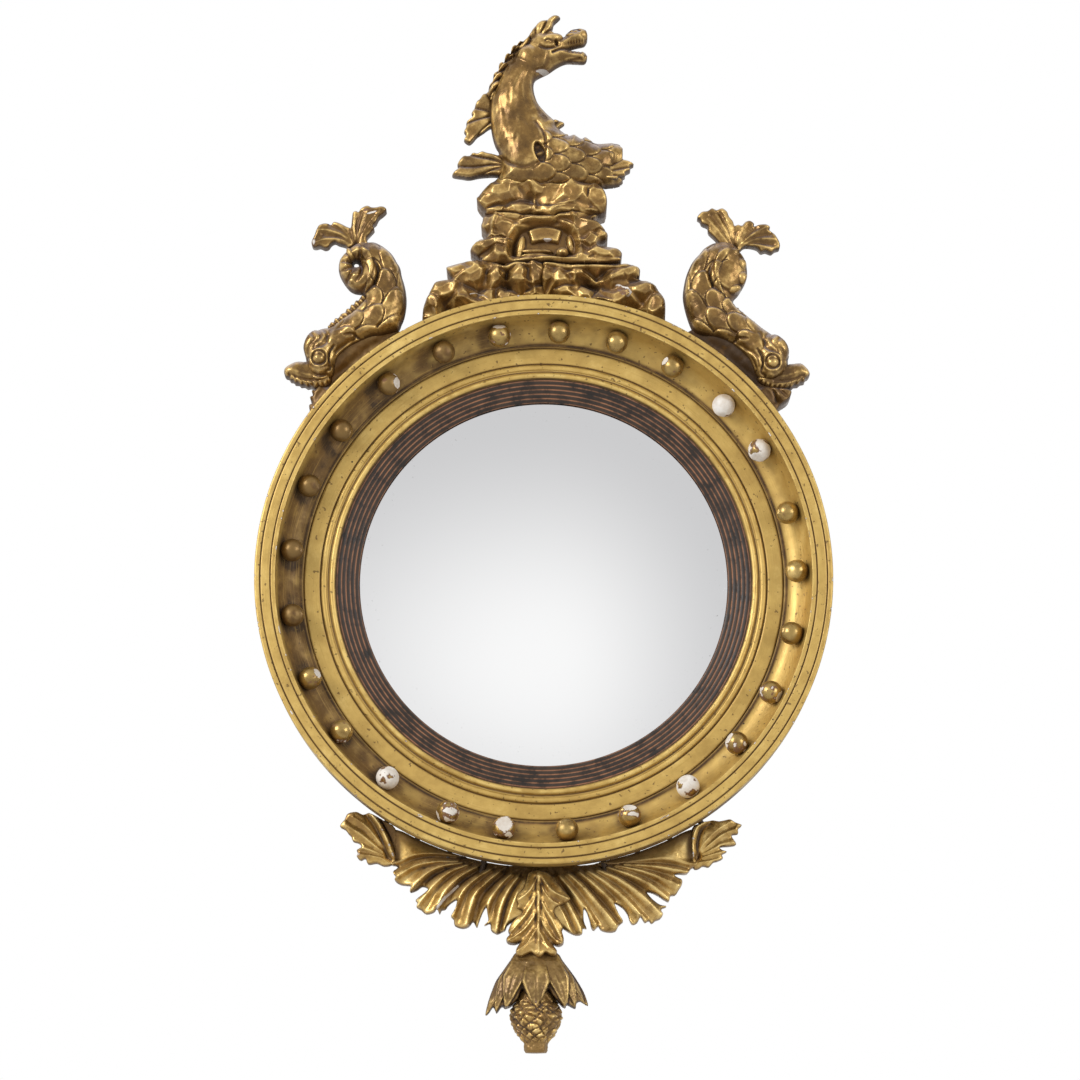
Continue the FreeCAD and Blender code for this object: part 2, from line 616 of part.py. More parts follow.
dowel_angles = []
for sign in (-1.0, 1.0):
    for swing in DOLPHIN_DOWELS:
        dowel_angles.append(sign * (size("dolphin_angle") - swing))
dowel_angles += LEFT_APRON_DOWELS + RIGHT_APRON_DOWELS
dowel_places = [turn_about_axis(angle) for angle in dowel_angles]
carving_dowels = around("CarvingDowels", dowel("Dowel", 0.0), dowel_places)
carving_dowels.Label = "carving_dowels"
dowel_bores = around("DowelBores", dowel("DowelBore", size("fit")), dowel_places)

# ---------------------------------------------------------------- back rings and planks, cut
rim_cutters = doc.addObject("Part::MultiFuse", "RimCutters")
rim_cutters.Shapes = [crest_housing, apron_housing]
ledge_cutters = doc.addObject("Part::MultiFuse", "LedgeCutters")
ledge_cutters.Shapes = [screw_holes, strap_bores, crest_bores, apron_bores, dowel_bores]
doc.recompute()
back_rim = cut("BackRim", back_rim_turned, rim_cutters)
back_rim.Label = "back_rim"
ledge_ring = cut("LedgeRing", ledge_ring_turned, ledge_cutters)
ledge_ring.Label = "ledge_ring"

plank_bores = doc.addObject("Part::MultiFuse", "PlankBores")
plank_bores.Shapes = [screw_ways, strap_bores, crest_bores, apron_bores]
plank_parts = []
PLANKS = (("left", "-(%splank_width + %sback_radius) / 2 - %splank_gap"),
          ("middle", "0 * (%splank_width + %sback_radius + %splank_gap)"),
          ("right", "(%splank_width + %sback_radius) / 2 + %splank_gap"))
for side, middle in PLANKS:
    disc = rod("Disc" + side.title(), "%srebate_radius - %sboard_play" % (S, S),
               S + "board_thickness", "0", S + "board_back", "0")
    width = S + ("plank_width" if side == "middle" else "back_radius")
    stock = board("Stock" + side.title(), middle % (S, S, S), width, S + "board_back", S + "board_front",
                  "-" + S + "back_radius", "2 * %sback_radius" % S)
    blank = doc.addObject("Part::Common", "Blank" + side.title())
    blank.Base = disc
    blank.Tool = stock
    plank = cut("Plank" + side.title(), blank, plank_bores)
    plank.Label = "backboard_" + side
    plank_parts.append(plank)
doc.recompute()

# ---------------------------------------------------------------- carver's tools
def drawn(rows, count=2):
    """Rows of drawn lengths; the first few of each are spread to fit the frame."""
    return [tuple(value * spread for value in row[:count]) + tuple(row[count:]) for row in rows]


def outline(points, depth, scale=1.0):
    """The closed outline at a depth, drawn in about its middle by the scale."""
    middle_x = sum(x for x, z in points) / len(points)
    middle_z = sum(z for x, z in points) / len(points)
    corners = []
    for x, z in points:
        across = middle_x + (x - middle_x) * scale
        up = middle_z + (z - middle_z) * scale
        corners.append(Vector(across, -depth, up))
    return Part.makePolygon(corners + corners[:1])


def block(points, back, front, taper=0.0):
    """A carved block: the full outline from its back to its middle, drawn in at its front."""
    points = drawn(points)
    if not taper:
        return Part.Face(outline(points, back)).extrude(Vector(0, back - front, 0))
    middle = (back + front) / 2
    wires = [outline(points, back), outline(points, middle), outline(points, front, 1.0 - taper)]
    return Part.makeLoft(wires, True, True)


def oval(centre, across, outward, half_across, half_outward):
    """A closed smooth oval wire about a centre, with its two half axes along two directions."""
    points = []
    for index in range(12):
        angle = 2 * math.pi * index / 12
        points.append(centre + across * (half_across * math.cos(angle))
                      + outward * (half_outward * math.sin(angle)))
    curve = Part.BSplineCurve()
    curve.interpolate(points, PeriodicFlag=True)
    return Part.Wire([curve.toShape()])


FRONT = Vector(0, -1, 0)


def along_x(stations, depth):
    """A rounded form with an oval section at each (x, low, high, half thickness)."""
    wires = []
    for x, low, high, half in drawn(stations, 3):
        centre = Vector(x, -depth, (low + high) / 2)
        wires.append(oval(centre, Vector(0, 0, 1), FRONT, (high - low) / 2, half))
    return Part.makeLoft(wires, True, False)


def along_z(stations, depth):
    """A rounded form with an oval section at each (z, left, right, half thickness)."""
    wires = []
    for z, left, right, half in drawn(stations, 3):
        centre = Vector((left + right) / 2, -depth, z)
        wires.append(oval(centre, Vector(1, 0, 0), FRONT, (right - left) / 2, half))
    return Part.makeLoft(wires, True, False)


def along_path(stations, depth):
    """A rounded form along a path of (x, z, half width, half thickness) in one plane."""
    wires = []
    stations = drawn(stations, 3)
    last = len(stations) - 1
    for index, (x, z, half, thick) in enumerate(stations):
        before = stations[max(index - 1, 0)]
        after = stations[min(index + 1, last)]
        way = Vector(after[0] - before[0], 0, after[1] - before[1]).normalize()
        across = way.cross(FRONT).normalize()
        wires.append(oval(Vector(x, -depth, z), across, FRONT, half, thick))
    return Part.makeLoft(wires, True, False)


def off_the_rings(shape, x=0.0, z=0.0):
    """The shape, placed at (x, z), cut to sit on the outer faces of both rings."""
    placed = shape.copy()
    placed.translate(Vector(x, 0, z))
    line = size("glue_line")
    inner = Part.makeCylinder(size("back_radius") + line, 2 * size("lip_front"),
                              Vector(0, size("recess_depth"), 0), FRONT)
    outer = Part.makeCylinder(size("lip_radius") + line, size("lip_front"),
                              Vector(0, line - size("lip_back"), 0), FRONT)
    return placed.cut(inner).cut(outer)


def less(shape, *tools):
    """The shape with each tool taken out of it."""
    for tool in tools:
        shape = shape.cut(tool)
    return shape


# ---------------------------------------------------------------- rock plinth
# outlines in x and in height above the top of the lip
ROCK_CAP = [
    (-42, 133), (-50, 132), (-55, 130), (-66, 120), (-72, 111), (-68, 104), (-62, 98), (-61, 96),
    (61, 96), (67, 100), (68, 108), (66, 117), (61, 126), (58, 130), (50, 131), (43, 133),
]
ROCK_CAVE = [
    (-61, 96), (-66, 87), (-67, 81), (-62, 74), (-60, 70), (-73, 65), (-79, 56), (-72, 50),
    (-66, 46), (-64, 42), (78, 42), (82, 45), (84, 52), (78, 57), (62, 58), (57, 60), (60, 64),
    (68, 69), (68, 74), (62, 81), (56, 85), (52, 89), (58, 94), (61, 96),
]
CAVE_MOUTH = [
    (-36, 46), (-38, 60), (-33, 74), (-24, 83), (-8, 86), (14, 86), (27, 82), (34, 74), (37, 60),
    (36, 46),
]
ROCK_BASE_LEFT = [
    (0, 42), (-64, 42), (-90, 39), (-104, 35), (-101, 26), (-98, 22), (-115, 18), (-120, 10),
    (-126, -1), (-129, -9), (-129, -52), (0, -52),
]
ROCK_BASE_RIGHT = [
    (0, 42), (0, -52), (130, -52), (130, -4), (124, 8), (118, 16), (105, 21), (96, 23), (102, 26),
    (102, 32), (90, 38), (78, 42),
]
batten_front = size("recess_depth")
rock_front = size("rock_front")
taper = size("rock_taper")
crest_cut = crest_bores.Shape
cave_floor = batten_front + 26.0

rock_cap_shape = block(ROCK_CAP, batten_front, rock_front, taper)
rock_cave_shape = block(ROCK_CAVE, batten_front, rock_front, taper)
cave_slab = block([(-15, 66), (18, 66), (16, 81), (-12, 82)], cave_floor, cave_floor + 14.0)
cave_bar = block([(-20, 51), (8, 51), (8, 56), (-20, 56)], cave_floor, cave_floor + 18.0)
rock_cave_shape = rock_cave_shape.cut(block(CAVE_MOUTH, cave_floor, rock_front + 5.0))
rock_cave_shape = rock_cave_shape.fuse([cave_slab, cave_bar])


# upright dowels between the blocks, and up into the seahorse: x, height of the joint, depth
CREST_JOINTS = [
    (-10, 133, 52.0), (40, 133, 52.0), (-50, 96, 30.0), (50, 96, 30.0), (-50, 42, 30.0),
    (50, 42, 30.0),
]


def crest_dowel_set(extra):
    """The upright dowels, or with extra their bores, at their seat above the lip."""
    shapes = []
    length = size("crest_dowel_length") + 2 * extra
    for x, z, depth in drawn(CREST_JOINTS):
        shapes.append(Part.makeCylinder(size("crest_dowel_radius") + extra, length,
                                        Vector(x, -depth, lip_top + z - length / 2)))
    return Part.makeCompound(shapes)


crest_dowels = carved("CrestDowels", crest_dowel_set(0.0))
crest_dowels.Label = "crest_dowels"
crest_dowel_bores = crest_dowel_set(size("fit"))


def crest_piece(name, label, shape):
    """A carving of the crest at its seat above the lip, less the screws and dowels."""
    placed = off_the_rings(shape, 0.0, lip_top)
    piece = carved(name, less(placed, crest_cut, crest_dowel_bores))
    piece.Label = label
    return piece


rock_cap = crest_piece("RockCap", "rock_cap", rock_cap_shape)
rock_cave = crest_piece("RockCave", "rock_cave", rock_cave_shape)
rock_base_left = crest_piece("RockBaseLeft", "rock_base_left",
                             block(ROCK_BASE_LEFT, batten_front, rock_front, taper))
rock_base_right = crest_piece("RockBaseRight", "rock_base_right",
                              block(ROCK_BASE_RIGHT, batten_front, rock_front, taper))

# ---------------------------------------------------------------- seahorse
# (x, low, high, half thickness) or (z, left, right, half thickness), heights above the lip
HORSE_BODY = [
    (-57, 156, 176, 8), (-48, 142, 196, 18), (-20, 133, 206, 25), (8, 132, 198, 26),
    (30, 131, 185, 24), (60, 131, 176, 21), (85, 136, 173, 17),
]
HORSE_NECK = [
    (180, -54, 16, 20), (199, -58, 12, 22), (218, -58, -4, 20), (238, -58, -11, 19),
    (252, -53, 0, 19), (262, -48, 6, 18),
]
HORSE_HEAD = [
    (-40, 263, 277, 6), (-28, 256, 287, 15), (-6, 250, 297, 19), (10, 259, 297, 16),
    (22, 264, 292, 13),
]
UPPER_JAW = [(18, 281, 293, 11), (32, 282, 301, 12), (46, 285, 301, 9)]
LOWER_JAW = [(18, 264, 279, 11), (32, 264, 277, 10), (46, 266, 275, 8)]
FORELOCK = [
    (18, 314), (12, 317), (0, 311), (-8, 305), (-12, 298), (-17, 293), (-16, 280), (8, 280),
    (12, 294), (9, 299), (10, 304),
]
MANE = [
    (-17, 293), (-25, 286), (-26, 283), (-32, 280), (-33, 277), (-38, 274), (-40, 270),
    (-45, 266), (-46, 261), (-50, 257), (-51, 252), (-55, 247), (-58, 237), (-59, 228),
    (-40, 228), (-36, 250), (-22, 268), (-10, 280),
]
WEB_FIN = [
    (-50, 236), (-62, 232), (-69, 226), (-74, 219), (-79, 208), (-77, 205), (-84, 199),
    (-83, 194), (-87, 187), (-84, 184), (-86, 177), (-80, 174), (-76, 177), (-72, 182),
    (-65, 187), (-58, 190), (-40, 196), (-40, 232),
]
FLIPPER = [
    (-40, 158), (-60, 160), (-70, 161), (-80, 159), (-90, 155), (-93, 149), (-98, 137),
    (-88, 135), (-78, 133), (-68, 136), (-58, 138), (-40, 136),
]
BREAST_FIN = [(0, 194), (8, 201), (21, 201), (22, 197), (16, 192), (25, 186), (10, 176), (0, 176)]
TAIL_FIN = [
    (50, 133), (80, 133), (82, 134), (88, 138), (92, 143), (92, 146), (97, 149), (88, 153),
    (85, 158), (70, 156), (50, 145),
]
horse_depth = size("horse_depth")
reach = 2 * size("lip_front")
cap_height = max(z for x, z in drawn(ROCK_CAP))
cap_top = Part.makeBox(2 * lip_top, reach, lip_top, Vector(-lip_top, -reach, cap_height - lip_top))
horse_body_shape = along_x(HORSE_BODY, horse_depth).cut(cap_top)
horse_neck_shape = along_z(HORSE_NECK, horse_depth).cut(horse_body_shape)
horse_head_shape = along_x(HORSE_HEAD, horse_depth)
for jaw in (UPPER_JAW, LOWER_JAW):
    horse_head_shape = horse_head_shape.fuse(along_x(jaw, horse_depth))
horse_head_shape = horse_head_shape.cut(horse_neck_shape)
trunk = (horse_body_shape, horse_neck_shape, horse_head_shape)
horse_pieces = [
    ("SeahorseBody", "seahorse_body", horse_body_shape),
    ("SeahorseNeck", "seahorse_neck", horse_neck_shape),
    ("SeahorseHead", "seahorse_head", horse_head_shape),
]
# the fins and locks are thinner blades let against the trunk: name, outline, back, front
HORSE_BLADES = [
    ("Forelock", "seahorse_forelock", FORELOCK, -9.0, 11.0),
    ("Mane", "seahorse_mane", MANE, -12.0, 14.0),
    ("WebFin", "seahorse_web_fin", WEB_FIN, -10.0, 6.0),
    ("Flipper", "seahorse_flipper", FLIPPER, -8.0, 16.0),
    ("BreastFin", "seahorse_breast_fin", BREAST_FIN, -14.0, 0.0),
    ("TailFin", "seahorse_tail_fin", TAIL_FIN, -12.0, 12.0),
]
done = list(trunk)
for name, label, points, back, front in HORSE_BLADES:
    blade = less(block(points, horse_depth + back, horse_depth + front), cap_top, *done)
    blade = max(blade.Solids, key=lambda solid: solid.Volume)
    done.append(blade)
    horse_pieces.append((name, label, blade))
seahorse = []
for name, label, shape in horse_pieces:
    seated = shape.copy()
    seated.translate(Vector(0, 0, lip_top))
    piece = carved(name, less(seated, crest_dowel_bores))
    piece.Label = label
    seahorse.append(piece)

# ---------------------------------------------------------------- dolphins
# drawn for the left shoulder, from the point of the lip at the dolphin's angle
DOLPHIN_BODY = [
    (-16, 31, 11, 0.50), (-3, 46, 19, 0.85), (13, 60, 19, 0.95), (31, 74, 20, 1.0),
    (52, 90, 23, 1.0), (62, 111, 24, 0.95), (60, 133, 22, 0.88), (52, 150, 18, 0.78),
    (38, 160, 12, 0.60),
]
TAIL_CURL = (33, 141)
CURL_RADIUS = 12.5
CURL_THICKNESS = 10.0
TAIL_LEAVES = [
    (-15, 168), (-15, 173), (-13, 180), (-9, 190), (-4, 193), (5, 192), (8, 194), (15, 193),
    (23, 189), (26, 189), (27, 197), (28, 205), (34, 206), (37, 210), (43, 213), (48, 211),
    (58, 210), (64, 208), (61, 204), (56, 200), (53, 194), (50, 191), (51, 187), (47, 182),
    (43, 177), (44, 165), (30, 155), (24, 160), (20, 169), (13, 171), (9, 173), (5, 171),
    (-1, 166), (-7, 168),
]
BACK_FIN = [
    (38, 115), (34, 108), (28, 103), (20, 96), (13, 91), (7, 84), (3, 79), (12, 64), (28, 77),
    (45, 90), (52, 108),
]
DOLPHIN_LIP = [
    (-19, 39), (-29, 39), (-38, 37), (-43, 33), (-42, 27), (-37, 21), (-29, 16), (-19, 14),
    (-5, 15), (2, 30), (-4, 40),
]
DOLPHIN_SEAT = [
    (-8, 42), (10, 60), (34, 78), (62, 92), (78, 76), (88, 40), (30, -4), (8, -18), (-14, -4),
    (-14, 12), (-6, 16), (4, 26),
]
dolphin_depth = size("dolphin_depth")
half = size("dolphin_thickness") / 2
dolphin_angle = math.radians(size("dolphin_angle"))
dolphin_x = -lip_top * math.sin(dolphin_angle)
dolphin_z = lip_top * math.cos(dolphin_angle)


def dolphin_shapes():
    """The five pieces of the left dolphin, by label stem."""
    stations = [(x, z, wide, half * share) for x, z, wide, share in DOLPHIN_BODY]
    body = along_path(stations, dolphin_depth)
    curl_x, curl_z = (value * spread for value in TAIL_CURL)
    curl = Part.makeTorus(CURL_RADIUS * spread, CURL_THICKNESS * spread,
                          Vector(curl_x, -dolphin_depth, curl_z), FRONT)
    body = body.fuse(curl)
    near = dolphin_depth - half
    tail = less(block(TAIL_LEAVES, near + 8.0, dolphin_depth + 12.0, 0.05), body)
    lip_shape = less(block(DOLPHIN_LIP, near + 8.0, dolphin_depth + 14.0), body)
    fin = less(block(BACK_FIN, near + 10.0, dolphin_depth + 8.0), body)
    seat = block(DOLPHIN_SEAT, near - 10.0, dolphin_depth + 16.0)
    seat = less(seat, body, lip_shape)
    shapes = {}
    for stem, shape in (("body", body), ("tail", tail), ("lip", lip_shape), ("back_fin", fin),
                        ("seat", seat)):
        placed = off_the_rings(shape, dolphin_x, dolphin_z)
        placed = less(placed, dowel_bores.Shape)
        shapes[stem] = max(placed.Solids, key=lambda solid: solid.Volume)
    return shapes


dolphins = []
for stem, shape in dolphin_shapes().items():
    for side in ("left", "right"):
        mirrored = shape.mirror(Vector(0, 0, 0), Vector(1, 0, 0)) if side == "right" else shape
        name = "Dolphin" + stem.title().replace("_", "") + side.title()
        piece = carved(name, mirrored)
        piece.Label = "dolphin_%s_%s" % (stem, side)
        dolphins.append(piece)

# ---------------------------------------------------------------- acanthus apron
# outlines in x and in height below (negative) the lowest point of the lip
SPRAY_LEFT = [
    (-157, 38), (-157, 12), (-157, 4), (-153, 2), (-158, -3), (-155, -8), (-155, -13),
    (-150, -16), (-143, -17), (-139, -18), (-140, -24), (-133, -22), (-127, -18), (-121, -21),
    (-134, -32), (-132, -36), (-133, -40), (-128, -43), (-123, -46), (-115, -45), (-112, -41),
    (-109, -47), (-107, -43), (-103, -42), (-99, -37), (-91, -32), (-95, -46), (-97, -50),
    (-94, -53), (-93, -59), (-85, -62), (-78, -60), (-74, -55), (-70, -60), (-68, -56),
    (-65, -48), (-62, -42), (-60, -40), (-58, -54), (-61, -58), (-56, -57), (-55, -64),
    (-49, -68), (-44, -66), (-40, -64), (-38, -59), (-30, -57), (-8, -50), (-8, -4), (-40, -2),
    (-70, 4), (-100, 12), (-135, 27),
]
SPRAY_RIGHT = [
    (157, 38), (135, 27), (100, 12), (70, 4), (40, -2), (-8, -4), (-8, -50), (20, -62),
    (26, -66), (33, -69), (40, -68), (41, -62), (45, -62), (42, -54), (42, -42), (45, -45),
    (48, -54), (50, -62), (53, -64), (57, -60), (60, -64), (68, -66), (75, -65), (78, -60),
    (81, -57), (83, -54), (78, -46), (74, -36), (79, -38), (84, -42), (88, -48), (90, -54),
    (93, -58), (98, -56), (101, -50), (103, -52), (106, -56), (110, -54), (113, -57),
    (117, -54), (122, -52), (125, -47), (123, -42), (129, -39), (122, -37), (115, -32),
    (108, -24), (114, -25), (120, -28), (126, -32), (131, -34), (133, -28), (138, -27),
    (142, -21), (145, -16), (145, -11), (141, -9), (137, -6), (142, -5), (150, -5), (155, 1),
    (157, 4), (155, 14),
]
TIP_LEFT = [
    (-184, 59), (-190, 57), (-197, 60), (-206, 58), (-208, 52), (-213, 45), (-208, 39),
    (-203, 38), (-200, 30), (-194, 27), (-191, 23), (-196, 18), (-195, 12), (-192, 10),
    (-187, 12), (-184, 5), (-175, 6), (-160, 4), (-157, 12), (-157, 38), (-170, 49),
]
TIP_RIGHT = [
    (172, 50), (183, 50), (190, 51), (198, 52), (201, 49), (208, 46), (204, 42), (203, 37),
    (198, 35), (199, 30), (201, 26), (196, 24), (185, 23), (184, 21), (191, 18), (187, 15),
    (188, 11), (182, 8), (178, 7), (173, 3), (167, 3), (162, 1), (157, 1), (157, 38),
]
CENTRE_LEAF = [
    (-8, -4), (-11, -14), (-14, -22), (-19, -28), (-19, -36), (-20, -41), (-15, -46),
    (-19, -51), (-25, -57), (-29, -66), (-27, -69), (-31, -76), (-22, -79), (-14, -76),
    (-19, -84), (-19, -90), (21, -88), (18, -82), (17, -78), (23, -80), (28, -78), (29, -74),
    (27, -66), (28, -61), (23, -53), (18, -46), (20, -41), (30, -37), (36, -33), (29, -22),
    (26, -18), (18, -12), (12, -3),
]
# (height, left, right, share of the thickness), from the pendant's axis
CALYX = [
    (-86, -18, 20, 0.62), (-98, -28, 30, 0.80), (-111, -35, 38, 0.93), (-121, -42, 45, 1.0),
    (-133, -48, 50, 1.0), (-145, -52, 54, 0.96), (-150, -50, 52, 0.90),
]
leaf_front = size("leaf_front")
pendant_depth = size("pendant_depth")
lip_bottom = -lip_top
cone_seat = size("cone_seat")
apron_cut = Part.makeCompound([apron_bores.Shape, dowel_bores.Shape])
behind_batten = Part.makeBox(2 * cone_seat, reach, 2 * cone_seat,
                             Vector(-cone_seat, -batten_front, -cone_seat))


def apron_piece(name, label, shape, x=0.0):
    """A carving of the apron at its seat under the lip, less the screws and dowels."""
    placed = off_the_rings(shape, x, lip_bottom)
    placed = less(placed, behind_batten, apron_bores.Shape, dowel_bores.Shape)
    piece = carved(name, max(placed.Solids, key=lambda solid: solid.Volume))
    piece.Label = label
    return piece


spray_left = apron_piece("SprayLeft", "apron_spray_left",
                         block(SPRAY_LEFT, batten_front, leaf_front, 0.02))
spray_right = apron_piece("SprayRight", "apron_spray_right",
                          block(SPRAY_RIGHT, batten_front, leaf_front, 0.02))
lift = size("tip_lift")
tip_left = apron_piece("TipLeft", "apron_tip_left",
                       block(TIP_LEFT, batten_front + lift, leaf_front + lift, 0.04))
tip_right = apron_piece("TipRight", "apron_tip_right",
                        block(TIP_RIGHT, batten_front + lift, leaf_front + lift, 0.04))
calyx_stations = [(z, left, right, size("calyx_thickness") * share)
                  for z, left, right, share in CALYX]
calyx_shape = along_z(calyx_stations, pendant_depth)
cone_bore = Part.makeCylinder(size("cone_peg_radius") + size("fit"),
                              size("cone_peg_length") + size("fit"),
                              Vector(0, -pendant_depth, lip_top - cone_seat), Vector(0, 0, 1))
under_calyx = Part.makeBox(lip_top, reach, lip_top,
                           Vector(-lip_top / 2, -reach, -cone_seat))
calyx_shape = less(calyx_shape, cone_bore, under_calyx)
calyx = apron_piece("Calyx", "calyx", calyx_shape, pendant_x)
leaf_shape = block(CENTRE_LEAF, batten_front, size("centre_leaf_front"), 0.10)
leaf_shape = less(leaf_shape, calyx_shape)
leaf_piece = off_the_rings(leaf_shape, pendant_x, lip_bottom)
leaf_piece = less(leaf_piece, spray_left.Shape, spray_right.Shape, apron_cut)
centre_leaf = carved("CentreLeaf", max(leaf_piece.Solids, key=lambda solid: solid.Volume))
centre_leaf.Label = "apron_centre_leaf"

# pine cone: (share of the radius, share of the length) down from its top, peg upwards
CONE_CURVE = [(1.0, 0.0), (0.97, 0.25), (0.86, 0.47), (0.66, 0.72), (0.46, 0.90), (0.26, 1.0)]
cone_corners = [("0", S + "cone_peg_length"), (S + "cone_peg_radius", S + "cone_peg_length"),
                (S + "cone_peg_radius", "0 * %scone_length" % S)]
for share, down in CONE_CURVE:
    cone_corners.append(("%.2f * %scone_radius" % (share, S), "-%.2f * %scone_length" % (down, S)))
cone_corners.append(("0", "-%scone_length" % S))
pine_cone = turned("PineCone", cone_corners, "XZ_Plane")
pine_cone.Label = "pine_cone"
bind(pine_cone, Placement_Base_x=S + "pendant_x", Placement_Base_y="-" + S + "pendant_depth",
     Placement_Base_z="-" + S + "cone_seat")
doc.recompute()

# ---------------------------------------------------------------- check and write
SUB_PARTS = [
    front_ring, ledge_ring, back_rim, slip_turned, bead_balls, convex_mirror_plate, plate_wedges,
    backboard_screws, crest_batten, crest_screws, apron_batten, apron_screws, hanger_screws,
    carving_dowels, crest_dowels, rock_cap, rock_cave, rock_base_left, rock_base_right, spray_left,
    spray_right, tip_left, tip_right, centre_leaf, calyx, pine_cone,
]
SUB_PARTS += plank_parts + hanger_parts + seahorse + dolphins

for thing in doc.Objects:
    if "Invalid" in thing.State or "Error" in thing.State:
        raise RuntimeError("%s failed: %s" % (thing.Label, thing.State))
for thing in SUB_PARTS:
    if thing.Shape.isNull() or not thing.Shape.isValid() or not thing.Shape.Solids:
        raise RuntimeError("%s has no valid shape" % thing.Label)

os.makedirs("parts", exist_ok=True)
for thing in SUB_PARTS:
    thing.Shape.exportStep(os.path.join("parts", thing.Label + ".step"))
    print("%-24s %3d solids %10.0f mm3" % (thing.Label, len(thing.Shape.Solids),
                                           thing.Shape.Volume))
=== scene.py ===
"""Looks of the girandole mirror: turned gilt rings, gesso balls, carved crest, dolphins and apron.

Lengths are millimetres until a mesh is made; depth is the distance from the wall, so Y = -depth.
"""
import bpy
import bmesh
import json
import math
import numpy as np
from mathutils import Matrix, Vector


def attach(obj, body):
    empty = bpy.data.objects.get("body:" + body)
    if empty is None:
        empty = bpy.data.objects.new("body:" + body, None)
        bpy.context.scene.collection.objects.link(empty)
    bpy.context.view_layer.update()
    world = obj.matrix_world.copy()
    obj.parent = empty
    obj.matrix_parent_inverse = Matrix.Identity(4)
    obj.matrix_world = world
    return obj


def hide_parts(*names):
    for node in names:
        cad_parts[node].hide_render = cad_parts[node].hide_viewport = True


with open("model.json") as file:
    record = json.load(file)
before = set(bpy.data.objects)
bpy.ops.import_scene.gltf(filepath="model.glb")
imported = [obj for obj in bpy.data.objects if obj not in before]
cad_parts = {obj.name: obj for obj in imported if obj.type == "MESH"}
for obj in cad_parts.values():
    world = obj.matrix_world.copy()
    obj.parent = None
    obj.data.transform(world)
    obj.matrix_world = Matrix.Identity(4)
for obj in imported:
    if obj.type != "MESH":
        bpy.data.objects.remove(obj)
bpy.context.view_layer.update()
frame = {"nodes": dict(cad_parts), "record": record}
MM = 0.001
LIP_EDGE = 304.3      # radius that the blocks on the lip start from
FACE = 40.0           # depth of the flat between hollow and glass
LIP = 80.0            # depth of the lip
SIGHT = 196.1         # radius of the glass that shows
BALL_CIRCLE = 267.4   # radius of the circle that the balls lie on
BALL_DEPTH = 60.5     # depth of their middles
BALL_STEP = 14.4      # degrees from ball to ball
BALL_PITCH = 67.2     # the same along the circle
ROCK_BACK = 12.2      # depth of the rock blocks' flat backs
DROP_X = -8           # where the apron's drop hangs


# ---------------------------------------------------------------- numbers and noise
def lattice(cells, seed):
    """A fixed value from 0 to 1 for each integer cell, from the fraction of a large sine."""
    mixed = cells[..., 0] * 127.1 + cells[..., 1] * 311.7 + cells[..., 2] * 74.7 + seed * 19.19
    value = np.sin(mixed) * 43758.5453
    return value - np.floor(value)


def mottle(points, grain, seed, octaves=3):
    """Smooth value noise from 0 to 1: lattice values blended with 3t^2 - 2t^3, octaves halved."""
    total, weight, share = 0.0, 0.0, 1.0
    place = np.asarray(points, float) / grain
    for octave in range(octaves):
        cell = np.floor(place)
        part = place - cell
        part = part * part * (3 - 2 * part)
        value = 0.0
        for corner in np.ndindex(2, 2, 2):
            corner = np.array(corner)
            blend = np.prod(np.where(corner, part, 1 - part), axis=-1)
            value = value + blend * lattice(cell + corner, seed + octave * 7)
        total = total + share * value
        weight += share
        share *= 0.5
        place = place * 2.03 + 11.3
    return total / weight


def lumps(x, depth, z, grain, seed, octaves=3):
    """The unevenness of a carved surface: noise from -0.5 to 0.5."""
    return mottle(at_depth(x, depth, z), grain, seed, octaves) - 0.5


def smooth(low, high, value):
    """0 below low, 1 above high, 3t^2 - 2t^3 between."""
    t = np.clip((value - low) / (high - low), 0, 1)
    return t * t * (3 - 2 * t)


def bell(value, width):
    """exp(-(value / width)^2)."""
    return np.exp(-(value / width) ** 2)


def at_depth(x, depth, z):
    """Points from x, depth and height."""
    return np.stack(np.broadcast_arrays(x, -np.asarray(depth, float), z), axis=-1)


# ---------------------------------------------------------------- meshes
def sheet_quads(rows, columns, wrap_rows=False, wrap_columns=False):
    """Quads of a rows-by-columns grid of points, wrapped round either way."""
    index = np.arange(rows * columns).reshape(rows, columns)
    if wrap_rows:
        index = np.vstack([index, index[:1]])
    if wrap_columns:
        index = np.hstack([index, index[:, :1]])
    return np.stack([index[:-1, :-1], index[:-1, 1:], index[1:, 1:], index[1:, :-1]],
                    axis=-1).reshape(-1, 4)


def join(parts):
    """Several (points, quads, marks) as one."""
    points, quads, marks, start = [], [], {}, 0
    names = sorted({name for part in parts for name in part[2]})
    for part_points, part_quads, part_marks in parts:
        points.append(part_points)
        quads.append(part_quads + start)
        for name in names:
            marks.setdefault(name, []).append(
                part_marks.get(name, np.zeros(len(part_points))))
        start += len(part_points)
    return (np.concatenate(points), np.concatenate(quads),
            {name: np.concatenate(values) for name, values in marks.items()})


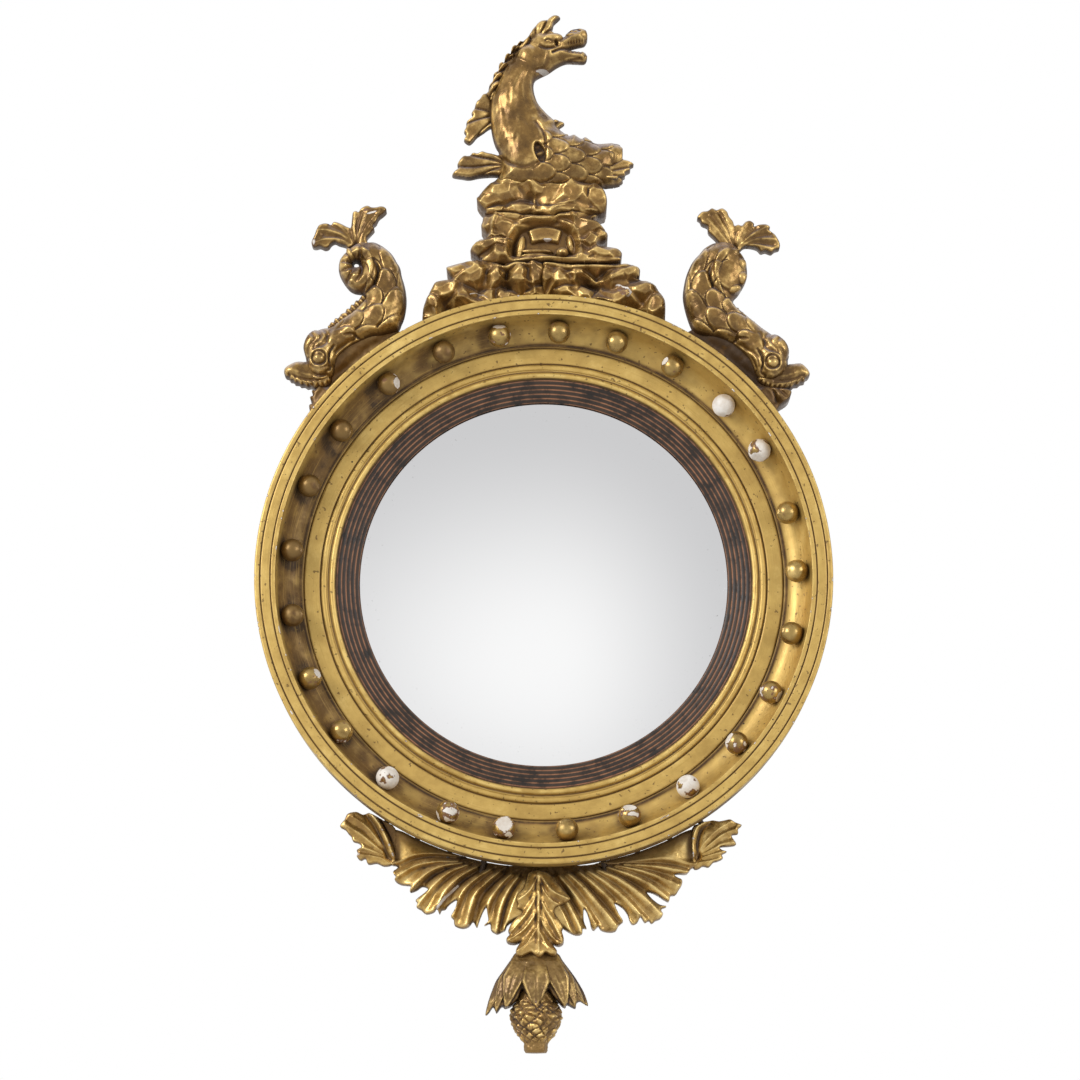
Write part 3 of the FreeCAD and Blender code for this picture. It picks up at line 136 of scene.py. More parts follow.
def piece(name, shape, slot, nodes, finish=None, body="frame", merge=True):
    """Makes the mesh of (points, quads, marks), gives it its finish and sets it on its body."""
    points, quads, marks = shape
    mesh = bpy.data.meshes.new(name)
    mesh.from_pydata((points * MM).tolist(), [], quads.tolist())
    for mark, values in marks.items():
        layer = mesh.attributes.new(mark, "FLOAT", "POINT")
        layer.data.foreach_set("value", np.ascontiguousarray(values, np.float32))
    if merge:
        work = bmesh.new()
        work.from_mesh(mesh)
        bmesh.ops.remove_doubles(work, verts=work.verts, dist=2e-6)
        bmesh.ops.recalc_face_normals(work, faces=work.faces)
        work.to_mesh(mesh)
        work.free()
    mesh.polygons.foreach_set("use_smooth", [True] * len(mesh.polygons))
    mesh.materials.append(finish or FINISHES[slot])
    thing = bpy.data.objects.new(name, mesh)
    bpy.context.collection.objects.link(thing)
    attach(thing, body)
    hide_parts(*nodes)


def lathe(points, closed, **marks):
    """The (points, quads, marks) of a grid whose rows run round an axis."""
    return (points.reshape(-1, 3).copy(), sheet_quads(*points.shape[:2], closed, True),
            {name: np.clip(values, 0, 1).ravel() for name, values in marks.items()})


def turned(profile, count):
    """A profile of (radius, depth) carried round the frame's axis: x = r sin a, z = r cos a."""
    radius, depth = profile[:, 0], profile[:, 1]
    angle = 2 * np.pi * np.arange(count) / count
    x = radius[:, None] * np.sin(angle)
    z = radius[:, None] * np.cos(angle)
    return at_depth(x, depth[:, None], z)


# ---------------------------------------------------------------- finishes
# umber and near-black: the colours of painted shade and dirt in hollows
UMBER, SHADE_AND_SOOT = (0.120, 0.058, 0.014), (0.030, 0.015, 0.006)
BOLE, CHALK, STAINED = (0.17, 0.080, 0.034), (0.80, 0.76, 0.70), (0.60, 0.52, 0.43)
# a pale lilac-grey for a painted sheen on what faces up
LILAC_SHEEN, WORM_HOLE, FLECK = (0.50, 0.45, 0.50), (0.02, 0.012, 0.008), (0.10, 0.052, 0.016)


class Tree:
    """A node tree with short helpers; what a helper makes is given back as an output."""

    def __init__(self, tree):
        self.tree = tree

    def node(self, kind, **settings):
        """A node with its settings; those that begin with in_ are its inputs."""
        node = self.tree.nodes.new(kind)
        for key, value in settings.items():
            if key.startswith("in_"):
                node.inputs[key[3:].replace("_", " ")].default_value = value
            else:
                setattr(node, key, value)
        return node

    def link(self, source, target):
        self.tree.links.new(source, target)

    def place(self):
        """Where on the object a point lies, in metres."""
        return self.node("ShaderNodeTexCoord").outputs["Object"]

    def noise(self, where, scale, detail=4.0, rough=0.55, stretch=None, seed=0.0):
        """Noise at a scale, stretched along an axis or shifted by its seed."""
        if stretch is not None or seed:
            mapping = self.node("ShaderNodeMapping")
            mapping.inputs["Scale"].default_value = stretch or (1, 1, 1)
            mapping.inputs["Location"].default_value = (seed, seed * 0.7, seed * 1.3)
            self.link(where, mapping.inputs["Vector"])
            where = mapping.outputs["Vector"]
        node = self.node("ShaderNodeTexNoise", in_Scale=scale, in_Detail=detail, in_Roughness=rough)
        self.link(where, node.inputs["Vector"])
        return node.outputs["Fac"]

    def math(self, operation, first, second=None, clamp=False):
        """An operation on one or two numbers, kept from 0 to 1 if clamped."""
        node = self.node("ShaderNodeMath", operation=operation, use_clamp=clamp)
        self.feed(node.inputs[0], first)
        if second is not None:
            self.feed(node.inputs[1], second)
        return node.outputs[0]

    def span(self, value, low, high, to_low=0.0, to_high=1.0):
        """A smooth step from one value to another."""
        node = self.node("ShaderNodeMapRange", interpolation_type="SMOOTHSTEP")
        for key, number in (("From Min", low), ("From Max", high), ("To Min", to_low),
                            ("To Max", to_high)):
            node.inputs[key].default_value = number
        self.link(value, node.inputs["Value"])
        return node.outputs["Result"]

    def mark(self, name):
        """A mark of the mesh's points, 0 where it has none."""
        return self.node("ShaderNodeAttribute", attribute_name=name).outputs["Fac"]

    def feed(self, socket, value):
        """Sets a socket to a number or a colour, or links an output to it."""
        if isinstance(value, (int, float)):
            socket.default_value = value
        elif isinstance(value, tuple):
            socket.default_value = value + (1.0,)
        else:
            self.link(value, socket)

    def mix(self, share, first, second):
        """A share of the second colour over the first."""
        node = self.node("ShaderNodeMix", data_type="RGBA")
        for index, value in ((0, share), (6, first), (7, second)):
            self.feed(node.inputs[index], value)
        return node.outputs[2]

    def pick(self, share, first, second):
        """One shader or another."""
        node = self.node("ShaderNodeMixShader")
        for socket, source in zip(node.inputs, (share, first, second)):
            self.link(source, socket)
        return node.outputs[0]

    def parts(self, vector):
        """The x, y and z of a vector."""
        node = self.node("ShaderNodeSeparateXYZ")
        self.link(vector, node.inputs[0])
        return node.outputs

    def length(self, first, second):
        """The square root of the sum of two squares."""
        return self.math("SQRT", self.math("ADD", self.math("POWER", first, 2.0),
                                           self.math("POWER", second, 2.0)))

    def bump(self, height, distance, strength, normal=None):
        """The normal, roughened by a height and laid over another normal."""
        node = self.node("ShaderNodeBump")
        node.inputs["Strength"].default_value = strength
        node.inputs["Distance"].default_value = distance
        self.link(height, node.inputs["Height"])
        if normal is not None:
            self.link(normal, node.inputs["Normal"])
        return node.outputs["Normal"]


class Finish(Tree):
    """A material."""

    def __init__(self, name):
        self.material = bpy.data.materials.new(name)
        self.material.use_nodes = True
        super().__init__(self.material.node_tree)
        self.shader = self.tree.nodes["Principled BSDF"]

    def done(self, **values):
        """The material, once its shader's sockets are fed."""
        for key, value in values.items():
            self.feed(self.shader.inputs[key.replace("_", " ")], value)
        return self.material


def gilding(name, deep, middle, light, polish=0.34, metal=0.55, occlusion_shade=1.0, shade=8.0,
            turning=False, dust_and_sheen=0.0):
    """Water gilding: mottled leaf, recesses darkened with painted shade and dirt, edges lightened
    as wear and painted highlight, chips to bole and white gesso.

    Vertex marks: one darkens hollows with painted shade and some dirt, one lightens edges as wear
    and painted highlight, and gesso is where the gilding is lost. The dust-and-sheen share is a
    painted lilac-grey sheen, a painted reflection, on what faces upwards."""
    f = Finish(name)
    where = f.place()
    broad = f.noise(where, 11.0, 5.0, 0.6)
    patch = f.noise(where, 55.0, 8.0, 0.65, seed=3.0)
    speck = f.noise(where, 420.0, 4.0, 0.6, seed=7.0)
    tone = f.math("ADD", f.math("MULTIPLY", broad, 0.45), f.math("MULTIPLY", patch, 0.55))
    colour = f.mix(f.span(tone, 0.34, 0.56), deep, middle)
    colour = f.mix(f.span(tone, 0.52, 0.68), colour, light)
    # wear and painted highlight: edges and ridges lightened towards the light gold
    rub = f.math("MULTIPLY", f.mark("rub"), f.span(patch, 0.3, 0.62), True)
    colour = f.mix(rub, colour, light)
    # painted shade: ambient occlusion darkens corners, creases and the gaps between parts
    occlusion = f.node("ShaderNodeAmbientOcclusion", samples=6)
    occlusion.inputs["Distance"].default_value = shade * MM
    closed = f.math("SUBTRACT", 1.0, occlusion.outputs["AO"])
    closed = f.span(closed, 0.22, 0.95, 0.0, 0.9 * occlusion_shade)
    # painted shade with some dirt in hollows and under things, from a mark on the mesh
    recess = f.math("MULTIPLY", f.mark("recess"), f.span(patch, 0.18, 0.6, 0.62, 1.25))
    shade_and_grime = f.math("MAXIMUM", closed, recess, True)
    # both darken towards umber and then near-black, as painted shade and dirt
    colour = f.mix(f.span(shade_and_grime, 0.0, 0.75, 0.0, 0.92), colour, UMBER)
    colour = f.mix(f.span(shade_and_grime, 0.70, 1.05, 0.0, 0.85), colour, SHADE_AND_SOOT)
    colour = f.mix(f.math("MULTIPLY", f.span(speck, 0.62, 0.74), 0.55), colour, deep)
    # lost gilding: a rim of red-brown bole round white gesso, with a broken edge
    ragged = f.noise(where, 210.0, 6.0, 0.7, seed=5.0)
    lost = f.math("ADD", f.mark("gesso"),
                  f.math("MULTIPLY", f.math("SUBTRACT", ragged, 0.5), 0.7))
    bole = f.span(lost, 0.36, 0.42)
    colour = f.mix(bole, colour, BOLE)
    colour = f.mix(f.span(lost, 0.50, 0.56), colour,
                   f.mix(f.span(patch, 0.35, 0.7), CHALK, STAINED))
    rough = f.math("ADD", f.span(patch, 0.3, 0.7, polish - 0.08, polish + 0.12),
                   f.math("MULTIPLY", shade_and_grime, 0.25))
    rough = f.math("ADD", rough, f.math("MULTIPLY", bole, 0.35), True)
    metallic = f.math("MULTIPLY", f.math("SUBTRACT", 1.0, bole),
                      f.math("MULTIPLY", f.math("SUBTRACT", 1.0, f.math("MULTIPLY", shade_and_grime, 0.45)),
                             metal))
    if dust_and_sheen:
        # a painted lilac sheen, a painted reflection, on what faces up; painted shade on what faces
        # down; and smudges of dirt
        upward = f.parts(f.node("ShaderNodeNewGeometry").outputs["Normal"])[2]
        sheen_share = f.math("MULTIPLY", f.span(upward, 0.30, 0.92, 0.0, dust_and_sheen),
                       f.span(patch, 0.35, 0.6, 0.5, 1.0))
        colour = f.mix(sheen_share, colour, LILAC_SHEEN)
        colour = f.mix(f.span(upward, -0.15, -0.75, 0.0, 0.45), colour, deep)
        rough = f.math("ADD", rough, f.math("MULTIPLY", sheen_share, 0.1))
        smudge = f.noise(where, 26.0, 7.0, 0.72, seed=13.0)
        colour = f.mix(f.span(smudge, 0.49, 0.60, 0.0, 0.5), colour, deep)
    height = f.math("ADD", f.math("MULTIPLY", patch, 0.5), f.math("MULTIPLY", speck, 0.25))
    normal = f.bump(height, 0.0006, 0.55)
    if turning:
        # faint lathe marks round the ring, scattered worm holes and short dark flecks
        x, y, z = f.parts(where)
        polar = f.node("ShaderNodeCombineXYZ")
        for socket, value, scale in zip(polar.inputs, (f.length(x, z), f.math("ARCTAN2", x, z), y),
                                        (900.0, 5.0, 900.0)):
            f.link(f.math("MULTIPLY", value, scale), socket)
        marks = f.noise(polar.outputs[0], 1.0, 3.0, 0.6)
        normal = f.bump(marks, 0.0004, 0.5, normal)
        colour = f.mix(f.math("MULTIPLY", f.span(marks, 0.54, 0.70), 0.55), colour, deep)
        holes = f.node("ShaderNodeTexVoronoi", in_Scale=62.0, in_Randomness=1.0)
        f.link(where, holes.inputs["Vector"])
        bored = f.math("MULTIPLY", f.span(holes.outputs["Distance"], 0.045, 0.075, 1.0, 0.0),
                       f.span(f.noise(where, 13.0, 2.0, seed=9.0), 0.51, 0.55))
        colour = f.mix(bored, colour, WORM_HOLE)
        flecks = f.noise(where, 230.0, 2.0, 0.5, seed=11.0)
        colour = f.mix(f.math("MULTIPLY", f.span(flecks, 0.66, 0.70), 0.75), colour, FLECK)
    f.link(normal, f.shader.inputs["Normal"])
    return f.done(Base_Color=colour, Metallic=metallic, Roughness=rough)


def timber(name, dark, light, along=(1.0, 1.0, 0.06), polish=0.6, depth=0.0006):
    """Planed wood: streaks along the grain, pores, and grey dust."""
    f = Finish(name)
    where = f.place()
    grain = f.noise(where, 320.0, 6.0, 0.6, stretch=along)
    band = f.noise(where, 60.0, 3.0, 0.5, stretch=along, seed=2.0)
    dust_and_sheen = f.noise(where, 18.0, 6.0, 0.6, seed=4.0)
    colour = f.mix(f.span(grain, 0.35, 0.65), dark, light)
    colour = f.mix(f.math("MULTIPLY", f.span(band, 0.45, 0.62), 0.6), colour, dark)
    colour = f.mix(f.math("MULTIPLY", f.span(dust_and_sheen, 0.5, 0.72), 0.35), colour, (0.22, 0.19, 0.16))
    f.link(f.bump(grain, depth, 0.6), f.shader.inputs["Normal"])
    return f.done(Base_Color=colour, Roughness=f.span(dust_and_sheen, 0.3, 0.7, polish, polish + 0.2))


def old_metal(name, base, dull, polish, metal=1.0):
    """Brass or iron with dull patches and small pits."""
    f = Finish(name)
    where = f.place()
    patch = f.noise(where, 160.0, 6.0, 0.65)
    pit = f.noise(where, 900.0, 3.0, 0.6, seed=2.0)
    colour = f.mix(f.span(patch, 0.38, 0.64), base, dull)
    f.link(f.bump(pit, 0.0002, 0.6), f.shader.inputs["Normal"])
    return f.done(Base_Color=colour, Metallic=f.span(patch, 0.4, 0.75, metal, metal * 0.6),
                  Roughness=f.span(patch, 0.3, 0.7, polish, polish + 0.25))


def ebonised(name):
    """Black polish over brown stain, rubbed copper where the reeds' grooves catch the edge."""
    f = Finish(name)
    where = f.place()
    patch = f.noise(where, 70.0, 6.0, 0.65)
    fine = f.noise(where, 500.0, 4.0, 0.6, seed=3.0)
    colour = f.mix(f.span(patch, 0.36, 0.64), (0.018, 0.013, 0.010), (0.040, 0.026, 0.018))
    copper = f.math("MULTIPLY", f.mark("rub"), f.span(patch, 0.30, 0.58), True)
    colour = f.mix(copper, colour, (0.42, 0.19, 0.095))
    colour = f.mix(f.math("MULTIPLY", f.span(fine, 0.6, 0.75), 0.5), colour, (0.09, 0.06, 0.045))
    f.link(f.bump(fine, 0.0002, 0.5), f.shader.inputs["Normal"])
    return f.done(Base_Color=colour, Specular_IOR_Level=0.28,
                  Roughness=f.span(patch, 0.3, 0.7, 0.34, 0.55))


def silvered(name):
    """Silvered convex plate with a little foxing; a painted reflection makes it paler low down and
    greyer towards its edge.
    """
    f = Finish(name)
    where = f.place()
    x, y, z = f.parts(where)
    # painted reflection: pale round a point below the middle, greyer outwards, sooner to the right
    right = f.math("MULTIPLY", f.math("MAXIMUM", x, 0.0), 0.42)
    reflection_fade = f.length(f.math("ADD", f.math("MULTIPLY", x, 0.75), right), f.math("ADD", z, 0.085))
    colour = f.mix(f.span(reflection_fade, 0.01, 0.27), (0.935, 0.936, 0.937), (0.604, 0.604, 0.612))
    spots = f.math("MULTIPLY", f.span(f.noise(where, 240.0, 5.0, 0.7), 0.63, 0.72),
                   f.span(f.length(x, z), 0.165, 0.197, 0.0, 0.6))
    colour = f.mix(spots, colour, (0.20, 0.19, 0.18))
    return f.done(Base_Color=colour, Metallic=1.0,
                  Roughness=f.span(f.noise(where, 30.0, 3.0), 0.3, 0.7, 0.02, 0.05))


FINISHES = {
    "ring_gilding": gilding("ring_gilding", (0.42, 0.262, 0.066), (0.535, 0.355, 0.098),
                            (0.66, 0.47, 0.155), polish=0.40, metal=0.5, occlusion_shade=0.75, shade=7.0,
                            turning=True),
    "ball_gilding": gilding("ball_gilding", (0.17, 0.095, 0.026), (0.37, 0.25, 0.082),
                            (0.76, 0.54, 0.20), polish=0.27, metal=0.75),
    "rock_gilding": gilding("rock_gilding", (0.13, 0.066, 0.017), (0.29, 0.160, 0.042),
                            (0.70, 0.48, 0.17), polish=0.28, shade=6.0, dust_and_sheen=0.30),
    "figure_gilding": gilding("figure_gilding", (0.088, 0.044, 0.012), (0.225, 0.124, 0.032),
                              (0.70, 0.47, 0.165), polish=0.28, metal=0.60, shade=14.0, dust_and_sheen=0.60),
    "leaf_gilding": gilding("leaf_gilding", (0.27, 0.150, 0.040), (0.53, 0.335, 0.095),
                            (0.84, 0.62, 0.25), polish=0.29, metal=0.60, occlusion_shade=0.8, shade=10.0,
                            dust_and_sheen=0.12),
    "ebonised_wood": ebonised("ebonised_slip"),
    "mirror_plate": silvered("silvered_plate"),
    "board_pine": timber("board_pine", (0.10, 0.058, 0.030), (0.27, 0.17, 0.092)),
    "batten_pine": timber("batten_pine", (0.085, 0.050, 0.027), (0.22, 0.14, 0.075)),
    "peg_wood": timber("peg_wood", (0.030, 0.017, 0.008), (0.075, 0.043, 0.020)),
    "brass_fittings": old_metal("old_brass", (0.50, 0.34, 0.115), (0.16, 0.105, 0.045), 0.34),
    "iron_screws": old_metal("old_iron", (0.14, 0.125, 0.115), (0.075, 0.045, 0.03), 0.45, 0.85),
}
slots = {part["node"]: part["material_slot"] for part in frame["record"]["subparts"]}
for node, thing in frame["nodes"].items():
    thing.data.materials.clear()
    thing.data.materials.append(FINISHES[slots[node]])


# ---------------------------------------------------------------- turned rings
def run(*legs):
    """Points of a profile: each leg is (count, function of 0..1 giving radius and depth)."""
    return np.concatenate([np.array([leg(t) for t in np.linspace(0, 1, count, endpoint=False)])
                           for count, leg in legs])


def straight(r0, d0, r1, d1):
    """A straight leg between two (radius, depth) points."""
    return lambda t: (r0 + (r1 - r0) * t, d0 + (d1 - d0) * t)


def half_round(middle, width, rise, base):
    """Half an ellipse over the base: r = m - w/2 cos(pi t), d = base + rise sin(pi t)."""
    return lambda t: (middle - width / 2 * math.cos(math.pi * t),
                      base + rise * math.sin(math.pi * t))


def vee(middle, width, deep, base):
    """A rounded V groove: d = base - deep (1 - |2t - 1|^1.2)."""
    return lambda t: (middle - width / 2 + width * t, base - deep * (1 - abs(2 * t - 1) ** 1.2))


def front_ring_shape():
    """The moulding's profile turned about the axis; arrises waver by fine noise."""
    profile = run(
        (2, straight(212, 30, 212, 34)), (3, straight(212, 34, 220.3, 34)),
        (3, straight(220.3, 34, 220.3, 39.6)), (2, straight(220.3, 39.6, 221.0, 40)),
        (11, half_round(224.3, 6.6, 3.4, 40)), (3, straight(227.6, 40, 230.1, 40)),
        (9, half_round(233.0, 5.7, 1.6, 40)), (6, vee(236.8, 1.8, 1.4, 40)),
        (9, straight(237.7, 40, 253.5, 40)), (6, vee(254.4, 1.8, 1.4, 40)),
        (2, straight(255.3, 40, 255.9, 40)), (2, straight(255.9, 40, 256.3, 42)),
        (2, straight(256.3, 42, 257.6, 42)),
        (22, lambda t: (257.6 + 24.7 * math.cos(math.pi / 2 * (1 - t)),
                        80 - 38 * math.sin(math.pi / 2 * (1 - t)))),
        (2, straight(282.3, 80, 282.9, 80.0)),
        (4, straight(282.9, 80, 286.4, 80)), (6, vee(287.3, 1.8, 1.4, 80)),
        (8, straight(288.2, 80, 297.1, 80)), (6, vee(298.0, 1.8, 1.4, 80)),
        (4, straight(298.9, 80, 303.0, 80)), (3, straight(303.0, 80, 304, 79)),
        (7, straight(304, 79, 304, 45.6)), (2, straight(304, 45.6, 303.4, 45)),
        (4, straight(303.4, 45, 288, 45)), (4, straight(288, 45, 288, 30)),
        (4, straight(288, 30, 212, 30)))
    count = 640
    points = turned(profile, count)
    radius, depth = profile[:, 0:1], profile[:, 1:2]
    grain, broad, chip = (mottle(points, size, seed) for size, seed in (
        (9.0, 3), (60.0, 5), (5.0, 21)))
    angle = 2 * np.pi * np.arange(count)[None, :] / count
    # painted shade in the hollow, mottled like dirt: darkest on the left, least on the right-hand
    # wall
    hollow = smooth(256.5, 262, radius) * (1 - smooth(279, 283.5, radius)) * (depth < 79.9)
    left = 0.5 - 0.5 * np.sin(angle)
    shade_and_grime = np.maximum(0.66 * left - 0.06 + 0.5 * (grain - 0.5) + 0.5 * (broad - 0.5), 0)
    recess = hollow * shade_and_grime * (1 - 0.45 * smooth(58, 76, depth))
    # painted shadows of the balls on the hollow round each ball, stronger on the left
    beat = (np.degrees(angle) - 2.3) / BALL_STEP
    beside = np.hypot(BALL_PITCH * np.abs(beat - np.round(beat)), radius - BALL_CIRCLE)
    recess = recess + hollow * (0.10 + 0.34 * left) * bell(beside - 10, 7.0) * (0.4 + broad)
    # painted shade in the corner at the foot of the hollow and in the grooves
    recess = recess + 0.85 * bell(radius - 257.2, 2.0) * (depth < 47)
    for groove, level, share in ((236.8, FACE, 0.74), (254.4, FACE, 0.74), (287.3, LIP, 0.72),
                                 (298.0, LIP, 0.72)):
        recess = np.maximum(recess, share * bell(radius - groove, 0.9)
                            * (np.abs(depth - level) < 3))
    recess = np.maximum(recess, 0.8 * bell(radius - 220.6, 0.9) * (depth > 38))
    recess = np.maximum(recess, 0.75 * bell(radius - 228.3, 0.9) * (np.abs(depth - FACE) < 1))
    # painted shade under the ledge and on the outer side towards the wall, with mottled dirt
    recess = np.maximum(recess, 0.75 * (radius > 287.5) * (depth < 45.5))
    side = (radius > 303.5) * (depth < 79)
    recess = np.maximum(recess, side * (0.16 + 0.35 * (1 - smooth(46, 60, depth))
                                        + 0.4 * smooth(0.5, 0.7, broad)))
    # wear and painted highlight on the lip's edges and the bead's crown
    rub = np.maximum(bell(depth - LIP, 1.2) * (bell(radius - 282.6, 1.0) + bell(radius - 303.4, 1)),
                     bell(radius - 224.3, 2.0) * (depth > FACE + 2)) * smooth(0.35, 0.6, grain)
    edge = np.maximum(bell(radius - 303.6, 1.6) * (depth > 77), bell(radius - 282.5, 1.2)
                      * (depth > 78)) + 0.8 * bell(radius - 224.3, 2.5) * (depth > 42)
    gesso = edge * smooth(0.66, 0.78, chip) * 0.75
    turn = np.degrees(angle)
    for at, where, wide, high in ((153.8, 284.6, 1.0, 0.9), (206.9, 284.6, 0.6, 1.3),
                                  (241.0, 300.6, 0.5, 0.8), (118.0, 246.0, 0.3, 0.6)):
        off = np.hypot((turn - at) / wide, (radius - where) / high)
        gesso = np.maximum(gesso, 0.85 * bell(off - 0.7, 0.45) * (depth > 39))
    points[..., 1] += 0.16 * (grain - 0.5) * (depth > 39)
    return lathe(points, True, recess=recess, rub=rub, gesso=gesso)


piece("front_ring_turned", front_ring_shape(), "ring_gilding", ["front_ring"])


def slip_shape():
    """Five reeds turned on a sloping slip: each reed is a low half-round between sharp grooves."""
    pitch = 4.6
    legs = []
    for index in range(5):
        r0, r1 = SIGHT + pitch * index, SIGHT + pitch * (index + 1)
        d0, d1 = 32.4 + 6.6 * index / 5, 32.4 + 6.6 * (index + 1) / 5

        def reed(t, r0=r0, r1=r1, d0=d0, d1=d1):
            return r0 + (r1 - r0) * t, d0 + (d1 - d0) * t - 0.7 * abs(2 * t - 1) ** 3.5
        legs.append((9, reed))
    legs += [(2, straight(219.1, 38.3, 220.1, 38.9)), (2, straight(220.1, 38.9, 220.1, 34)),
             (2, straight(220.1, 34, 211.8, 34)), (2, straight(211.8, 34, 211.8, 30.3)),
             (3, straight(211.8, 30.3, SIGHT, 30.3)), (2, straight(SIGHT, 30.3, SIGHT, 31.7))]
    profile = run(*legs)
    points = turned(profile, 480)
    grain = mottle(points, 14.0, 9)
    phase = (profile[:, 0:1] - SIGHT) / pitch
    near = np.abs(phase - np.round(phase)) * pitch
    rub = bell(near, 0.5) * (profile[:, 1:2] > 31.5) * (0.75 + 0.9 * (grain - 0.3))
    return lathe(points, True, rub=rub)


piece("ebonised_slip_reeded", slip_shape(), "ebonised_wood", ["ebonised_slip"])


def plate_shape():
    """A blown plate: two spheres of 749.9 mm radius 4 mm apart, closed at the edge."""
    sphere, centre = 749.9, 56.0 - 749.9
    r = np.linspace(0, 203.0, 60)
    front = centre + np.sqrt(sphere ** 2 - r ** 2)
    back = np.maximum(front - 4.0, 24.0)
    profile = np.concatenate([np.stack([r, front], 1), np.stack([r, back], 1)[::-1]])
    return lathe(turned(profile, 240), False)


piece("convex_plate", plate_shape(), "mirror_plate", ["convex_mirror_plate"])

# ---------------------------------------------------------------- balls
# turn from an even spacing (degrees), how much gilding is lost, and the side a chip is cut on
# (degrees clockwise from up, tilt towards the front, depth of the chip in mm)
BALLS = [
    (0.3, 0.30, None), (-0.7, 0.05, None), (-1.1, 0.34, (300, 30, 1.0)),
    (-0.7, 0.95, (20, 40, 1.2)), (-1.9, 0.78, (200, 30, 1.5)), (-0.5, 0.28, None),
    (-1.3, 0.10, None), (-1.3, 0.26, None), (-1.4, 0.52, (120, 20, 1.4)),
    (-1.9, 0.55, (300, 20, 1.8)), (-1.5, 0.74, (330, 40, 1.8)), (-1.2, 0.50, (0, 30, 2.2)),
    (-1.2, 0.0, None), (-1.5, 0.62, (10, 68, 3.2)), (-2.8, 0.56, (250, 10, 1.0)),
    (-1.6, 0.80, (30, 40, 1.5)), (-1.2, 0.36, None), (-1.5, 0.36, (60, 30, 1.2)),
    (-0.9, 0.04, None), (-0.3, 0.05, None), (0.7, 0.02, None), (1.0, 0.06, None),
    (1.9, 0.40, (90, 30, 1.6)), (2.1, 0.04, None), (1.0, 0.48, (0, 30, 1.8)),
]


def balls_shape():
    """Spheres r = 12.15 + noise, cut back to r = h / (n.c) over each chip; their backs darkened by
    painted shade, the left ones darker.
    """
    parts = []
    rows, columns = 30, 48
    lat = np.linspace(-np.pi / 2, np.pi / 2, rows)[:, None]
    lon = (2 * np.pi * np.arange(columns) / columns)[None, :]
    way = np.stack(np.broadcast_arrays(np.cos(lat) * np.sin(lon), np.sin(lat),
                                       np.cos(lat) * np.cos(lon)), -1).reshape(-1, 3)
    quads = sheet_quads(rows, columns, False, True)
    for index, (turn, lost, chip) in enumerate(BALLS):
        around = math.radians(3.2 + BALL_STEP * index + turn)
        rough = mottle(way * 12.0 + index * 40, 7.0, 31)
        radius = 12.15 + 0.35 * (rough - 0.5)
        gesso = (rough - 0.5) * 1.6 + (lost - 0.5) * 1.5 + 0.25
        if chip:
            side, tilt, deep = chip
            side, tilt = math.radians(side), math.radians(tilt)
            cut = np.array([math.sin(side) * math.cos(tilt), -math.sin(tilt),
                            math.cos(side) * math.cos(tilt)])
            facing = np.maximum(way @ cut, 1e-3)
            level = (12.0 - deep) / facing + 0.5 * (rough - 0.5)
            broken = level < radius
            radius = np.minimum(radius, level)
            gesso = np.where(broken, np.maximum(gesso, 0.80), gesso)
        centre = np.array([BALL_CIRCLE * math.sin(around), -BALL_DEPTH,
                           BALL_CIRCLE * math.cos(around)])
        gesso = np.clip(gesso, 0, 0.95) * (lost > 0)
        # painted shade on each ball's back, towards the wall, with mottled dirt; the left ones
        # darker
        dark = np.clip(0.30 * bell(way[:, 1] - 1.0, 0.9) + 0.25 * smooth(0.5, 0.75, rough)
                       + (0.42 if 17 < index < 24 else 0.0), 0, 1)
        parts.append((centre + way * radius[:, None], quads, {"gesso": gesso, "recess": dark}))
    return join(parts)


piece("gesso_balls", balls_shape(), "ball_gilding", ["bead_balls"])

# ---------------------------------------------------------------- carver's tools
def eased(points, steps=4, closed=True):
    """A smooth line through points: Catmull-Rom, with rounded but kept corners."""
    p = np.array(points, float)
    before, after = (np.roll(p, 1, 0), np.roll(p, -1, 0)) if closed else (
        np.vstack([2 * p[0] - p[1], p[:-1]]), np.vstack([p[1:], 2 * p[-1] - p[-2]]))
    slope = (after - before) * 0.5
    last = len(p) if closed else len(p) - 1
    t = (np.arange(steps) / steps)[:, None]
    made = []
    for i in range(last):
        j = (i + 1) % len(p)
        made.append((2 * t ** 3 - 3 * t ** 2 + 1) * p[i] + (t ** 3 - 2 * t ** 2 + t) * slope[i]
                    + (3 * t ** 2 - 2 * t ** 3) * p[j] + (t ** 3 - t ** 2) * slope[j])
    made = np.concatenate(made)
    return made if closed else np.vstack([made, p[-1:]])


def nearest(line, x, z, closed=False):
    """Distance to a line, how far along it (mm), which side (signed across) and the foot."""
    ends = np.roll(line, -1, 0) if closed else line[1:]
    starts = line if closed else line[:-1]
    best = np.full(x.shape, 1e12)
    along, side = np.zeros(x.shape), np.zeros(x.shape)
    foot_x, foot_z = np.zeros(x.shape), np.zeros(x.shape)
    gone = 0.0
    for a, b in zip(starts, ends):
        leg = b - a
        length = math.hypot(*leg)
        if length < 1e-9:
            continue
        t = np.clip(((x - a[0]) * leg[0] + (z - a[1]) * leg[1]) / length ** 2, 0, 1)
        fx, fz = a[0] + t * leg[0], a[1] + t * leg[1]
        gap = (x - fx) ** 2 + (z - fz) ** 2
        closer = gap < best
        best = np.where(closer, gap, best)
        along = np.where(closer, gone + t * length, along)
        side = np.where(closer, np.sign(leg[0] * (z - a[1]) - leg[1] * (x - a[0])), side)
        foot_x, foot_z = np.where(closer, fx, foot_x), np.where(closer, fz, foot_z)
        gone += length
    return np.sqrt(best), along, side, foot_x, foot_z


